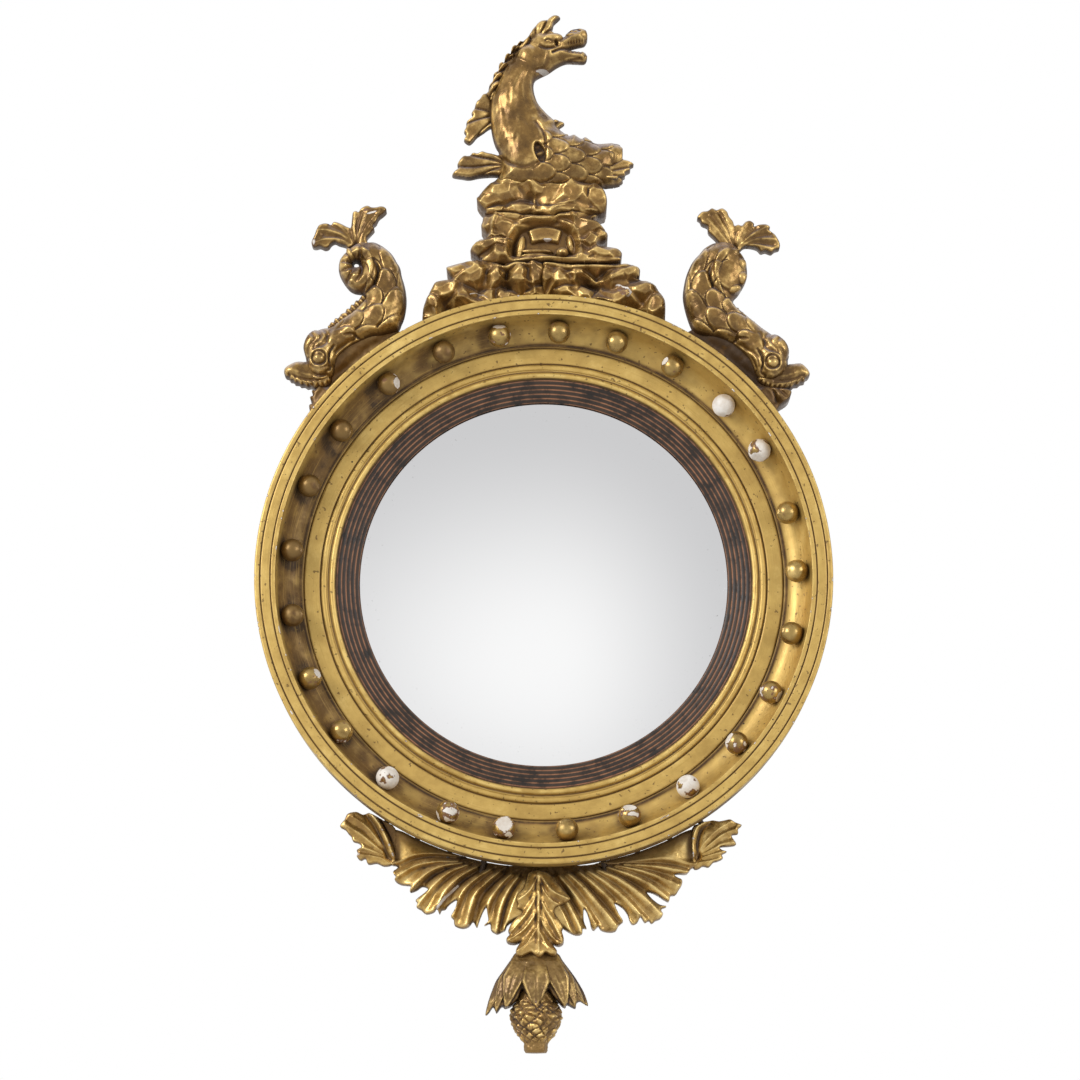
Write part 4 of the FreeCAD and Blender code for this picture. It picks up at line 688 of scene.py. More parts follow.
def within(line, x, z):
    """True inside a closed line, by counting crossings."""
    inside = np.zeros(x.shape, bool)
    for a, b in zip(line, np.roll(line, -1, 0)):
        if a[1] == b[1]:
            continue
        crosses = (a[1] > z) != (b[1] > z)
        inside ^= crosses & (x < (b[0] - a[0]) * (z - a[1]) / (b[1] - a[1]) + a[0])
    return inside


def blurred(values, known, reach):
    """A round blur of the known values only, with a bell of the given reach in cells."""
    taps = np.arange(-int(3 * reach), int(3 * reach) + 1)
    weights = np.exp(-0.5 * (taps / reach) ** 2)
    weights /= weights.sum()

    def pass_over(grid):
        for axis in (0, 1):
            pad = [(0, 0), (0, 0)]
            pad[axis] = (len(taps) // 2,) * 2
            wide = np.pad(grid, pad)
            grid = sum(w * np.take(wide, np.arange(i, i + grid.shape[axis]), axis)
                       for i, w in enumerate(weights))
        return grid
    return pass_over(values * known) / np.maximum(pass_over(known.astype(float)), 1e-6)


def relief(points, front, back, cell, corner=4, soil=1.0, marks=None, hole=None):
    """A carved shell over an outline: a grid of x and z inside it, its rim drawn on to the line.

    front(x, z, inside) and back(x, z, inside) give the depths, where inside is the distance from
    the outline; a band joins them.  How far the front lies under its own blurred surface marks
    painted shade with some dirt in its hollows; how far over it marks wear and painted highlight
    on its ridges."""
    line = eased(points, corner)
    low, high = line.min(0) - 2 * cell, line.max(0) + 2 * cell
    x, z = np.meshgrid(np.arange(low[0], high[0], cell), np.arange(low[1], high[1], cell))
    gap, *_, foot_x, foot_z = nearest(line, x, z, True)
    gap = np.where(within(line, x, z), gap, -gap)
    if hole is not None:
        hole = np.array(hole, float)
        pit, *_, pit_x, pit_z = nearest(hole, x, z, True)
        pit = np.where(within(hole, x, z), -pit, pit)
        closer = pit < gap
        gap, foot_x, foot_z = (np.where(closer, new, old) for new, old in
                               ((pit, gap), (pit_x, foot_x), (pit_z, foot_z)))
    kept = gap > -0.72 * cell
    rim = kept & (gap < 0.45 * cell)
    x, z = np.where(rim, foot_x, x), np.where(rim, foot_z, z)
    inside = np.where(rim, 0.0, np.maximum(gap, 0))
    height = front(x, z, inside)
    fine = blurred(height, kept, 1.3 / cell) - height
    wide = blurred(height, kept, 4.5 / cell) - height
    # painted shade with some dirt in hollows; wear and painted highlight on ridges
    recess = np.clip(soil * (0.75 * smooth(0.06, 0.75, fine) + 0.65 * smooth(0.5, 3.6, wide)), 0, 1)
    rub = np.clip(smooth(0.05, 0.5, -fine) * 0.9 + 0.4 * smooth(0.6, 3.0, -wide), 0, 1)
    rows, columns = x.shape
    whole = kept[:-1, :-1] & kept[:-1, 1:] & kept[1:, 1:] & kept[1:, :-1]
    quads = sheet_quads(rows, columns)[whole.ravel()]
    used, fresh = np.unique(quads, return_inverse=True)
    quads = fresh.reshape(-1, 4)
    count = len(used)
    flat_x, flat_z = x.ravel()[used], z.ravel()[used]
    near = at_depth(flat_x, height.ravel()[used], flat_z)
    far = at_depth(flat_x, np.minimum(back(x, z, inside), height - 0.3).ravel()[used], flat_z)
    edges = np.concatenate([quads[:, [i, (i + 1) % 4]] for i in range(4)])
    key = np.sort(edges, 1)
    first, times = np.unique(key[:, 0] * count + key[:, 1], return_index=True,
                             return_counts=True)[1:]
    open_edges = edges[first[times == 1]]
    band = np.stack([open_edges[:, 1], open_edges[:, 0], open_edges[:, 0] + count,
                     open_edges[:, 1] + count], -1)
    made = {"recess": np.tile(recess.ravel()[used], 2), "rub": np.tile(rub.ravel()[used], 2)}
    made["rub"][count:] = 0
    made["recess"][count:] = 0.55
    for name, rule in (marks or {}).items():
        value = rule(x, z, height).ravel()[used]
        value = np.concatenate([value, value * (name != "gesso")])
        made[name] = np.maximum(made.get(name, 0), value)
    return (np.concatenate([near, far]), np.concatenate([quads, quads[:, ::-1] + count, band]),
            made)


def swelling(inside, width):
    """0 at the outline to 1 at the width inside it: a quarter round, sqrt(1 - (1 - t)^2)."""
    t = np.clip(inside / width, 0, 1)
    return np.sqrt(np.maximum(1 - (1 - t) ** 2, 0))


def boss(height, x, z, middle, radii, turn, level, rise):
    """A rounded swelling let into the surface: the higher of it and an oval dome."""
    turn = math.radians(turn)
    dx, dz = x - middle[0], z - middle[1]
    u = (dx * math.cos(turn) + dz * math.sin(turn)) / radii[0]
    v = (-dx * math.sin(turn) + dz * math.cos(turn)) / radii[1]
    q = u * u + v * v
    dome = level + rise * np.sqrt(np.maximum(1 - q, 0))
    return np.where(q < 1, np.maximum(height, dome), height)


def traced(x, z, points):
    """Distance to a smooth line, and the share of it that lies before the nearest point."""
    gap, along = nearest(eased(points, 5, False), x, z)[:2]
    return gap, along / max(along.max(), 1e-6)


def stroke(height, x, z, points, width, depth, taper=True):
    """A gouge along a line (a ridge if depth is negative): depth * exp(-(gap / width)^2)."""
    gap, share = traced(x, z, points)
    fade = np.clip(4 * share * (1 - share), 0, 1) ** 0.5 if taper else 1.0
    return height - depth * fade * bell(gap, width)


def crest(height, x, z, points, width, rise, stop):
    """A sharp ridge along a line: rise * exp(-gap / width), growing from the root to 0.35 of it
    and sinking to the share stop at its end."""
    gap, share = traced(x, z, points)
    fade = smooth(-0.15, 0.35, share) * (1 - (1 - stop) * smooth(0.75, 1.0, share))
    return height + rise * fade * np.exp(-gap / width)


def cut_in(height, x, z, cuts):
    """Cuts in turn: strokes as (points, width, depth) and bosses as (middle, radii, turn, level,
    rise)."""
    for cut in cuts:
        height = (stroke if isinstance(cut[0], list) else boss)(height, x, z, *cut)
    return height


def scales(u, v, length, width, lift):
    """Overlapping tongues pointing along +u, rows staggered; each rises to its round tip and
    drops to the next with an incised edge."""
    row = np.floor(u / length)
    result = np.zeros(u.shape)
    done = np.zeros(u.shape, bool)
    for earlier in (1, 0):
        this = row - earlier
        du = u / length - this
        shift = np.where(np.mod(this, 2) > 0.5, 0.5, 0.0)
        dv = v / width - shift
        dv = dv - np.round(dv)
        reach = np.sqrt((np.maximum(du - 0.62, 0) / 0.95) ** 2 + (dv / 0.52) ** 2)
        inside = reach < 1
        form = lift * (0.25 + 0.75 * du / 1.57) - lift * 0.35 * (dv / 0.5) ** 2 \
            - 0.65 * lift * bell(1 - reach, 0.11)
        result = np.where(inside & ~done, form, result)
        done |= inside
    return result


def fluted(root, tips, level, rise, droop, width, curl=0.0, bow=0.0):
    """A fan of convex flutes from a root: between neighbouring tip angles the height is
    rise * sqrt(1 - (2t - 1)^2), parted by sharp furrows, falling towards the tips."""
    angles = np.unwrap([math.atan2(z - root[1], x - root[0]) for x, z in tips])
    reach = max(math.hypot(z - root[1], x - root[0]) for x, z in tips)

    def front(x, z, inside):
        far = np.hypot(x - root[0], z - root[1])
        angle = np.arctan2(z - root[1], x - root[0])
        middle = angles.mean()
        angle = middle + np.mod(angle - middle + np.pi, 2 * np.pi) - np.pi
        angle = angle + bow * (far / reach) * (1 - far / reach)
        order = np.argsort(angles)
        place = np.interp(angle, angles[order], np.arange(len(angles)))
        t = place - np.floor(place)
        spread = smooth(0.06, 0.4, far / reach)
        flute = np.sqrt(np.maximum(1 - (2 * t - 1) ** 2, 0))
        h = level + rise * flute * spread - 1.6 * (1 - spread)
        h = h - droop * (far / reach) ** 2 + curl * smooth(0.7, 1.0, far / reach)
        return h - (rise + 1.5) * (1 - swelling(inside, width))
    return front


def flat_back(level):
    """A plain back at one depth, rounded up to the outline."""
    return lambda x, z, inside: level + 3.0 * (1 - swelling(inside, 4.0))


def round_back(middle, thick, width):
    """A back that swells from the outline like the front."""
    return lambda x, z, inside: middle - thick * swelling(inside, width)


def carving(node, outline, front, back, slot="figure_gilding", cell=0.7, name=None, finish=None,
            **more):
    """One carved block, fin or leaf over its outline, in place of its node."""
    piece(name or node + "_carved", relief(outline, front, back, cell, **more), slot, [node],
          finish, merge=False)


# ---------------------------------------------------------------- seahorse
TRUNK = [
    (-17, 594), (-30, 578), (-42, 562), (-50, 546), (-56, 530), (-58, 512), (-57, 496), (-55, 484),
    (-52, 474), (-48, 466), (-47, 450), (-46, 430), (-10, 428), (40, 428), (82, 432), (84, 450),
    (85, 464), (84, 475), (78, 479), (58, 478), (50, 482), (45, 485), (40, 483), (33, 488),
    (27, 486), (20, 491), (14, 497), (12, 503), (7, 508), (1, 514), (-6, 523), (-10, 534),
    (-11, 543), (-9, 549), (-3, 553), (5, 557), (15, 564), (24, 568), (34, 568), (44, 568),
    (47, 573), (45, 580), (38, 581), (28, 583), (36, 586), (44, 588), (47, 593), (47, 599),
    (44, 605), (34, 605), (26, 601), (20, 597), (12, 599), (4, 603), (-8, 603),
]


def trunk_front(x, z, inside):
    """Body, arched neck and head of the seahorse, swelling from the outline; then its carving."""
    chest = 1 - smooth(478, 512, z)
    thick = 19.0 + 7.0 * chest
    wide = 20.0 + 8.0 * chest
    h = thick * swelling(inside, wide)
    # tail stump: rounder and thinner to the right, with a squared burnished end
    h = h - 6.0 * smooth(20, 80, x) * chest
    h = boss(h, x, z, (76, 462), (13, 13), 0, 6, 12.0)
    # scales of the hind body
    zone = smooth(-8, 6, x) * (1 - smooth(72, 78, x)) * (1 - smooth(482, 492, z)) * chest
    h = h + zone * scales(x - 2 + 0.10 * (z - 460), z - 451 + 0.05 * x, 17.0, 19.0, 3.6)
    # chest, shoulder and a long furrow from the breast to the belly
    h = h + 2.0 * bell(np.hypot((x + 30) / 20.0, (z - 468) / 15.0), 1.0)
    h = stroke(h, x, z, [(-52, 470), (-38, 452), (-20, 446), (-4, 452)], 2.2, 3.0)
    h = stroke(h, x, z, [(-10, 500), (-2, 488), (2, 474), (-2, 456), (-12, 442)], 2.0, 3.2)
    # tilted oval, dark and striated, at the joint of fore and hind body
    dx, dz = x + 4, z - 462
    u = (dx * 0.94 + dz * 0.34) / 5.5
    v = (-dx * 0.34 + dz * 0.94) / 11.5
    oval = smooth(1.12, 0.80, np.sqrt(u * u + v * v))
    h = h * (1 - oval) + oval * (19.0 + 1.0 * np.cos(v * 9.0))
    # neck: S-grooves running down, and a worn ridge between
    for shift, deep in ((-13, 0.5), (-5, 0.8), (4, 0.5), (12, 0.9), (19, 0.7)):
        h = stroke(h, x, z, [(-20 + shift * 0.55, 560), (-30 + shift, 540),
                             (-30 + shift * 1.15, 520), (-24 + shift * 1.3, 502),
                             (-22 + shift * 1.2, 484), (-28 + shift, 470)], 2.4, deep)
    h = cut_in(h, x, z, [
        ([(-22, 556), (-33, 536), (-33, 514), (-27, 494), (-30, 476)], 5.0, -2.0),
        # head: jowl with creases, brow, lidded eye, ear
        ((-13, 572), (17, 16), 20, 7, 14),
        ([(3, 583), (5, 571), (0, 560), (-14, 556)], 1.8, 1.6),
        ((-17, 574), (8, 7), 0, 14, 3.2),
        ((7, 578), (13, 10), -15, 6, 12),
        ((8, 592), (13, 6.5), 12, 11, 9),
        ([(-6, 584), (2, 581), (11, 582), (18, 586)], 1.9, 4.2),
        ((5.5, 586.5), (5.2, 4.4), 0, 12.5, 5.5),
        ([(0.5, 588.5), (5, 590.5), (10.5, 588)], 0.9, 2.4),
        ([(12, 590), (14, 587), (13, 584)], 1.5, 5.0),
        ((-21, 589), (9, 4.2), 55, 9, 9),
        ([(-25, 583), (-21, 589), (-18, 595)], 1.2, 3.2),
        # jaws: a row of teeth, the dark mouth, lips and the nostril
        ((36, 598), (13, 8), 8, 5, 9.5),
        ([(20, 598), (28, 601), (34, 600), (40, 603)], 1.4, 2.2),
        ([(31, 602), (36, 604), (40, 601)], 1.5, 3.4)
    ])
    teeth = smooth(24, 28, x) * bell(z - (588.0 + 0.22 * (x - 28)), 1.7)
    h = h + teeth * (0.9 * np.cos((x - 28) * 2 * np.pi / 3.0) - 1.2)
    h = stroke(h, x, z, [(10, 577), (20, 581), (30, 583)], 1.6, 4.2, False)
    h = boss(h, x, z, (32, 573), (17, 5.6), 2, 4, 8)
    h = h + smooth(22, 28, x) * bell(z - 579, 1.6) * 1.2 * np.cos(x * 2 * np.pi / 4.2)
    h = stroke(h, x, z, [(18, 566), (30, 569.5), (44, 571)], 1.3, 1.8)
    # gesso showing under the jaw is a flat break
    broken = bell(np.hypot((x - 1) / 12.0, (z - 556) / 4.0), 1.0)
    uneven = lumps(x, 50 + h, z * 0.55, 11.0, 23)
    return 52.0 + h - 1.2 * broken + 2.6 * uneven * smooth(0, 5, inside)


def trunk_gesso(x, z, height):
    """Gilding lost under the jaw, at the ear's rim and on the neck."""
    jaw = bell(np.hypot(x / 10.0, (z - 556.5) / 3.2), 1.0)
    ear = bell(np.hypot((x + 24) / 2.2, (z - 592) / 5.0), 1.0)
    neck = 0.5 * bell(np.hypot((x + 26) / 5.0, (z - 520) / 22.0), 1.0) \
        * smooth(0.5, 0.75, mottle(at_depth(x, height, z), 6.0, 44))
    nostril = 0.7 * bell(np.hypot((x - 38) / 2.5, (z - 601) / 1.6), 1.0)
    return np.clip(0.85 * jaw + 0.8 * ear + neck + nostril, 0, 0.9)


piece("seahorse_trunk", relief(TRUNK, trunk_front, round_back(52, 20, 22), 0.7,
                               marks={"gesso": trunk_gesso}),
      "figure_gilding", ["seahorse_body", "seahorse_neck", "seahorse_head"], merge=False)

FORELOCK = [
    (-17, 596), (-14, 601), (-9, 609), (-3, 614), (3, 616), (11, 621), (18, 620), (15, 616),
    (11, 612), (10, 608), (9, 603), (13, 598), (9, 592), (-4, 590), (-14, 590),
]
carving("seahorse_forelock", FORELOCK,
        fluted((-8, 588), [(-30, 606), (-12, 612), (2, 620), (18, 622), (30, 608)], 62, 5.0,
               droop=4.0, width=3.5, bow=0.5), flat_back(46))
MANE_LOCKS = [
    ((-19, 597), (-33, 583)), ((-26, 588), (-40, 574)), ((-33, 579), (-47, 565)),
    ((-40, 567), (-54, 553)), ((-45, 556), (-59, 541)), ((-48, 546), (-58, 530)),
]
MANE = [
    (-15, 598), (-22, 592), (-26, 591), (-29, 586), (-34, 584), (-36, 577), (-41, 575),
    (-43, 568), (-48, 566), (-49, 558), (-54, 554), (-55, 546), (-59, 541), (-60, 530), (-56, 526),
    (-48, 532), (-42, 548), (-32, 562), (-22, 574), (-12, 586),
]


def mane_front(x, z, inside):
    """Six locks that sweep down from the neck to the edge, a sharp groove under each."""
    h = 55.0 + 3.0 * swelling(inside, 4.0)
    for (ax, az), (bx, bz) in MANE_LOCKS:
        h = stroke(h, x, z, [(ax, az), ((ax + bx) / 2 - 1.5, (az + bz) / 2 + 1.0), (bx, bz)], 3.4,
                   -6.5)
        h = stroke(h, x, z, [(ax - 2, az - 6), ((ax + bx) / 2 - 3, (az + bz) / 2 - 5),
                             (bx - 2.5, bz - 6)], 1.0, 3.0, False)
    return h


carving("seahorse_mane", MANE, mane_front, flat_back(42))
WEB_FIN = [
    (-50, 540), (-56, 539), (-62, 536), (-66, 534), (-69, 529), (-73, 525), (-75, 519), (-78, 513),
    (-77, 509), (-83, 504), (-84, 498), (-86, 492), (-84, 488), (-86, 482), (-81, 478), (-77, 480),
    (-72, 486), (-65, 491), (-58, 496), (-46, 500), (-44, 530),
]
carving("seahorse_web_fin", WEB_FIN,
        fluted((-47, 512), [(-50, 545), (-66, 536), (-78, 516), (-88, 496), (-80, 474), (-52, 478)],
               53, 4.6, droop=3.0, curl=2.5, width=2.5, bow=0.35), flat_back(43))
FLIPPER = [
    (-40, 466), (-50, 464), (-60, 465), (-66, 467), (-71, 465), (-76, 466), (-81, 463),
    (-86, 463), (-90, 459), (-93, 454), (-92, 450), (-97, 445), (-98, 441), (-88, 439),
    (-80, 438), (-70, 440), (-60, 441), (-50, 441), (-40, 438), (-34, 450),
]
carving("seahorse_flipper", FLIPPER,
        fluted((-36, 452), [(-60, 474), (-84, 470), (-98, 455), (-100, 438), (-60, 432)], 63, 6.0,
               droop=7.0, width=3.0, bow=-0.5), flat_back(45))
BREAST_FIN = [
    (-4, 500), (4, 502), (12, 507), (21, 504), (22, 501), (17, 497), (15, 494), (22, 492),
    (27, 489), (20, 480), (6, 478), (-4, 484),
]
carving("seahorse_breast_fin", BREAST_FIN,
        fluted((-6, 486), [(2, 512), (20, 508), (26, 492), (20, 474)], 50, 4.0, droop=2.0,
               width=2.5), flat_back(40))
TAIL_FIN = [
    (56, 441), (66, 446), (76, 458), (82, 462), (86, 458), (92, 456), (97, 453), (93, 450),
    (93, 446), (88, 443), (87, 439), (81, 438), (78, 435), (66, 436),
]
carving("seahorse_tail_fin", TAIL_FIN,
        fluted((58, 440), [(70, 464), (92, 462), (98, 450), (92, 438), (76, 430)], 66, 3.2,
               droop=4.0, width=2.2), flat_back(46))

# ---------------------------------------------------------------- rock plinth
def facets(chunks, floor, seed=1):
    """Faceted rock: each chunk is the lowest of its slanted planes and a cap; the highest wins.

    A chunk is (x, z, half width, half height, top, slants), its planes even round it but for a
    fixed unevenness."""
    def front(x, z, inside):
        bent_x = x + 14 * lumps(x, 40, z, 24, seed + 50, 2)
        bent_z = z + 14 * lumps(x, 40, z, 24, seed + 60, 2)
        h = np.full(x.shape, float(floor))
        for number, (cx, cz, rx, rz, top, slants) in enumerate(chunks):
            form = np.full(x.shape, float(top))
            for side in range(slants):
                chance = lattice(np.array([number, side, 3.0]), seed)
                other = lattice(np.array([number, side, 8.0]), seed)
                angle = 2 * math.pi * (side + 0.55 * (chance - 0.5)) / slants
                reach = ((bent_x - cx) * math.cos(angle) / rx
                         + (bent_z - cz) * math.sin(angle) / rz)
                steep = 9.0 + 13.0 * other
                form = np.minimum(form, top - steep * (reach - (0.28 + 0.22 * chance)))
            form = form + 0.12 * (x - cx) * (lattice(np.array([number, 1, 1.0]), seed) - 0.5) * 4 \
                + 0.16 * (z - cz) * (lattice(np.array([number, 2, 1.0]), seed) - 0.5) * 4
            blend = np.clip(0.5 + (form - h) / 9.0, 0, 1)
            h = h * (1 - blend) + form * blend + 2.25 * blend * (1 - blend)
        fold = 1 - np.clip(np.abs(lumps(bent_x, 0, bent_z, 21, seed + 70, 1)) * 4.0, 0, 1)
        h = h + 5.0 * (fold ** 1.6 - 0.4) + 1.8 * lumps(x, h, z, 12.0, 17, 2)
        return np.minimum(h, 71.5) - 4.0 * (1 - swelling(inside, 5.0))
    return front


ROCK_CAP = [
    (-42, 441), (-50, 438), (-55, 434), (-60, 430), (-66, 424), (-70, 419), (-72, 415), (-68, 408),
    (-62, 402), (-61, 399), (-30, 397), (0, 394), (30, 396), (62, 399), (67, 404), (68, 412),
    (66, 421), (61, 430), (58, 434), (50, 434), (43, 438), (10, 439), (-10, 439),
]
cap_facets = facets([
    (-44, 424, 26, 17, 70, 6), (-60, 413, 16, 10, 66, 5), (32, 424, 22, 19, 71, 6),
    (54, 418, 17, 17, 68, 6), (-10, 427, 22, 13, 66, 5), (10, 423, 16, 18, 64, 5),
    (-25, 404, 24, 8, 68, 7), (25, 404, 24, 8, 69, 7), (0, 404, 12, 12, 60, 4),
    (-52, 402, 12, 6, 64, 5), (56, 403, 12, 6, 64, 5),
], 50, 3)


def cap_front(x, z, inside):
    """Cap block: burnished rounded ends, two level rolls and a V facet between them."""
    return cut_in(cap_facets(x, z, inside), x, z, [
        ([(-20, 437), (-14, 420), (-4, 404), (0, 397)], 3.4, 1.6),
        ([(22, 437), (14, 420), (6, 406), (0, 397)], 3.4, 1.8),
        ([(-66, 412), (-50, 409), (-30, 412), (-14, 410)], 3.0, 1.8),
        ([(12, 411), (30, 412), (48, 408), (66, 411)], 3.0, 1.8)
    ])


carving("rock_cap", ROCK_CAP, cap_front, flat_back(ROCK_BACK), "rock_gilding", 0.8, soil=1.2)

ROCK_CAVE = [
    (-61, 400), (-66, 391), (-67, 385), (-62, 378), (-60, 374), (-68, 371), (-74, 366), (-79, 360),
    (-72, 354), (-66, 350), (-64, 345), (-30, 342), (0, 344), (30, 342), (78, 345), (82, 349),
    (84, 356), (78, 361), (66, 362), (58, 363), (60, 368), (68, 372), (68, 378), (62, 385),
    (56, 389), (50, 393), (58, 399), (30, 400), (0, 398), (-30, 400),
]
cave_facets = facets([
    (-52, 388, 18, 12, 68, 6), (-30, 394, 22, 8, 66, 6), (0, 394, 24, 6, 67, 6),
    (28, 394, 22, 8, 67, 6), (50, 384, 17, 12, 68, 6), (-60, 362, 20, 9, 68, 5),
    (-48, 352, 16, 9, 70, 6), (62, 356, 22, 9, 69, 5), (50, 372, 14, 9, 65, 5),
    (-50, 374, 12, 8, 64, 5), (0, 347, 50, 5, 68, 6), (60, 376, 10, 7, 62, 5),
    (42, 350, 14, 8, 70, 6),
], 52, 8)
CAVE_MOUTH = [
    (-36, 349), (-38, 364), (-33, 377), (-24, 386), (-8, 389.5), (14, 389.5), (27, 385), (34, 377),
    (37, 364), (35, 351), (20, 349), (0, 349), (-20, 350),
]
mouth_line = eased(CAVE_MOUTH, 4)


def cave_front(x, z, inside):
    """Middle block with the cave: its floor lies back, with a slab, two bars, blades and a knob."""
    h = cave_facets(x, z, inside)
    gap = nearest(mouth_line, x, z, True)[0]
    gap = np.where(within(mouth_line, x, z), gap, -gap)
    inner = 47.0 + 3.0 * bell(gap - 2, 3.0)
    inner = boss(inner, x, z, (1.5, 378), (19, 9), 2, 40, 12)
    slab = smooth(18.0, 15.5, np.abs(x - 1.5) + 0.3 * (378 - z)) * smooth(
        8.5, 6.5, np.abs(z - 377.5 + 0.012 * (x - 1.5) ** 2))
    inner = inner + np.maximum(56.0 - 0.12 * (z - 370) - inner, 0) * slab
    for bar, level in ((357.5, 54.0), (351.5, 57.0)):
        inner = boss(inner, x, z, (-7, bar), (17, 2.9), 0, level, 6)
    inner = cut_in(inner, x, z, [
        ((-25, 362), (4.2, 14), -12, 50, 9),
        ((20, 357), (6.5, 6.0), 0, 50, 10),
        ([(16, 360), (20, 361.5), (24, 360)], 0.9, 2.4),
        ((29, 366), (4.0, 12), 12, 46, 8)
    ])
    share = smooth(-1.5, 7.0, gap)
    h = h * (1 - share) + inner * share
    return h + 2.2 * bell(gap + 2.5, 1.8) * (1 - share)


def cave_gesso(x, z, height):
    """A white chip on the slab's lower edge."""
    return 0.85 * bell(np.hypot((x - 4) / 6.0, (z - 370.8) / 1.8), 1.0)


carving("rock_cave", ROCK_CAVE, cave_front, flat_back(ROCK_BACK), "rock_gilding", 0.8, soil=0.5,
        marks={"gesso": cave_gesso})


def ring_edge(side):
    """Points of the block's foot along the lip, then in behind it."""
    return [(side * x, math.sqrt(LIP_EDGE ** 2 - x ** 2)) for x in (129, 105, 80, 55, 30, 8, 0)]


ROCK_BASE_LEFT = [
    (0, 344), (-20, 343), (-40, 345), (-64, 346), (-80, 345), (-90, 343), (-98, 341), (-104, 339),
    (-103, 334), (-101, 330), (-98, 326), (-107, 324), (-115, 322), (-118, 318), (-120, 314),
    (-126, 303), (-129, 295), (-130, 285),
] + ring_edge(-1)
ROCK_BASE_RIGHT = [
    (0, 344), (20, 343), (40, 345), (64, 345), (78, 345), (90, 342), (102, 337), (103, 332),
    (102, 328), (96, 327), (105, 325), (112, 323), (118, 320), (122, 315), (124, 312), (128, 306),
    (130, 300), (130, 285),
] + ring_edge(1)
left_facets = facets([
    (-92, 334, 18, 8, 70, 5), (-104, 312, 20, 12, 69, 6), (-116, 297, 15, 14, 66, 6),
    (-74, 327, 17, 15, 71, 6), (-50, 330, 15, 14, 69, 5), (-27, 327, 13, 17, 71, 6),
    (-6, 330, 12, 15, 68, 5), (-82, 303, 20, 14, 68, 6), (-58, 308, 14, 12, 66, 5),
    (-40, 309, 10, 10, 64, 5), (-12, 312, 14, 7, 65, 5), (-30, 341, 40, 4, 71, 6),
], 50, 21)
right_facets = facets([
    (92, 334, 17, 8, 70, 5), (106, 313, 19, 12, 69, 6), (118, 298, 14, 14, 67, 6),
    (76, 331, 15, 12, 70, 6), (20, 327, 15, 16, 71, 6), (4, 330, 10, 14, 67, 5),
    (38, 334, 13, 8, 69, 5), (84, 309, 19, 13, 70, 6), (62, 302, 16, 10, 66, 5),
    (44, 312, 12, 9, 60, 5), (24, 311, 12, 8, 64, 5), (30, 341, 44, 4, 71, 6),
], 48, 34)


def base_left_front(x, z, inside):
    """Left foot: upright block forms parted by deep cuts, with a U recess."""
    h = left_facets(x, z, inside)
    for px in (-62, -39, -16):
        h = stroke(h, x, z, [(px, 340), (px + 1, 326), (px - 2, 312)], 3.2, 2.6)
    h = stroke(h, x, z, [(-100, 322), (-86, 320), (-70, 314), (-52, 318)], 3.0, 2.2)
    return stroke(h, x, z, [(-46, 322), (-40, 314), (-33, 322)], 3.0, 5.0)


def base_right_front(x, z, inside):
    """Right foot: block forms, a dark hollow, and a chipped oval."""
    h = right_facets(x, z, inside)
    for px in (12, 30, 64):
        h = stroke(h, x, z, [(px, 340), (px - 1, 326), (px + 2, 313)], 3.2, 2.6)
    h = stroke(h, x, z, [(34, 326), (46, 322), (58, 313)], 4.5, 11.0)
    return stroke(h, x, z, [(66, 322), (84, 324), (102, 322)], 3.0, 2.2)


def base_gesso(x, z, height):
    """The chipped patch on the right foot: a broken white rim round bare bole."""
    ragged = 0.9 * lumps(x, 60, z, 6.0, 91, 2)
    ring = np.hypot((x - 83.5 + 0.4 * (z - 311.5)) / 7.5, (z - 311.5) / 6.5) + ragged
    there = smooth(-8, 2, (x - 83.5) + 0.8 * (z - 311.5))
    return 0.85 * bell(ring - 1.0, 0.16) * there + 0.40 * (ring < 0.8)


def scratch_gesso(x, z, height):
    """A thin white scratch on the left foot."""
    gap = nearest(np.array([(-79, 308), (-72, 311), (-66, 308), (-60, 304)], float), x, z)[0]
    return 0.8 * bell(gap, 0.8)


for word, line, front, chips in (("left", ROCK_BASE_LEFT, base_left_front, scratch_gesso),
                                 ("right", ROCK_BASE_RIGHT, base_right_front, base_gesso)):
    carving("rock_base_" + word, line, front, flat_back(ROCK_BACK), "rock_gilding", 0.9, soil=0.7,
            marks={"gesso": chips})

# ---------------------------------------------------------------- dolphins
# the left one's outlines; the right one has its own, read as closely
LEFT_BODY = [
    (-196, 368), (-189, 368), (-182, 368), (-175, 365), (-168, 360), (-162, 354), (-158, 347),
    (-154, 340), (-152, 330), (-149, 320), (-147, 308), (-147, 297), (-149, 285), (-152, 277),
    (-156, 270), (-172, 265), (-185, 262), (-195, 258), (-205, 253), (-213, 247), (-219, 240),
    (-222, 231), (-224, 221), (-231, 214), (-239, 211), (-247, 215), (-252, 222), (-253, 232),
    (-254, 240), (-256, 249), (-254, 257), (-250, 264), (-243, 270), (-235, 273), (-228, 274),
    (-220, 280), (-212, 286), (-204, 292), (-197, 299), (-192, 305), (-193, 310), (-198, 311),
    (-203, 312), (-208, 315), (-213, 321), (-218, 330), (-220, 339), (-219, 348), (-215, 354),
    (-209, 360), (-203, 365),
]
RIGHT_BODY = [
    (196, 368), (188, 368), (180, 366), (172, 361), (167, 355), (160, 347), (155, 337), (152, 328),
    (150, 318), (149, 308), (150, 299), (152, 290), (155, 280), (159, 271), (166, 266), (180, 263),
    (195, 258), (207, 250), (217, 240), (222, 231), (226, 221), (234, 213), (244, 210), (254, 214),
    (259, 222), (261, 231), (261, 238), (262, 243), (260, 251), (254, 259), (247, 264), (240, 269),
    (233, 274), (226, 280), (220, 285), (213, 291), (206, 297), (203, 303), (208, 309), (213, 317),
    (216, 323), (218, 330), (218, 338), (216, 348), (213, 354), (209, 360), (203, 366),
]
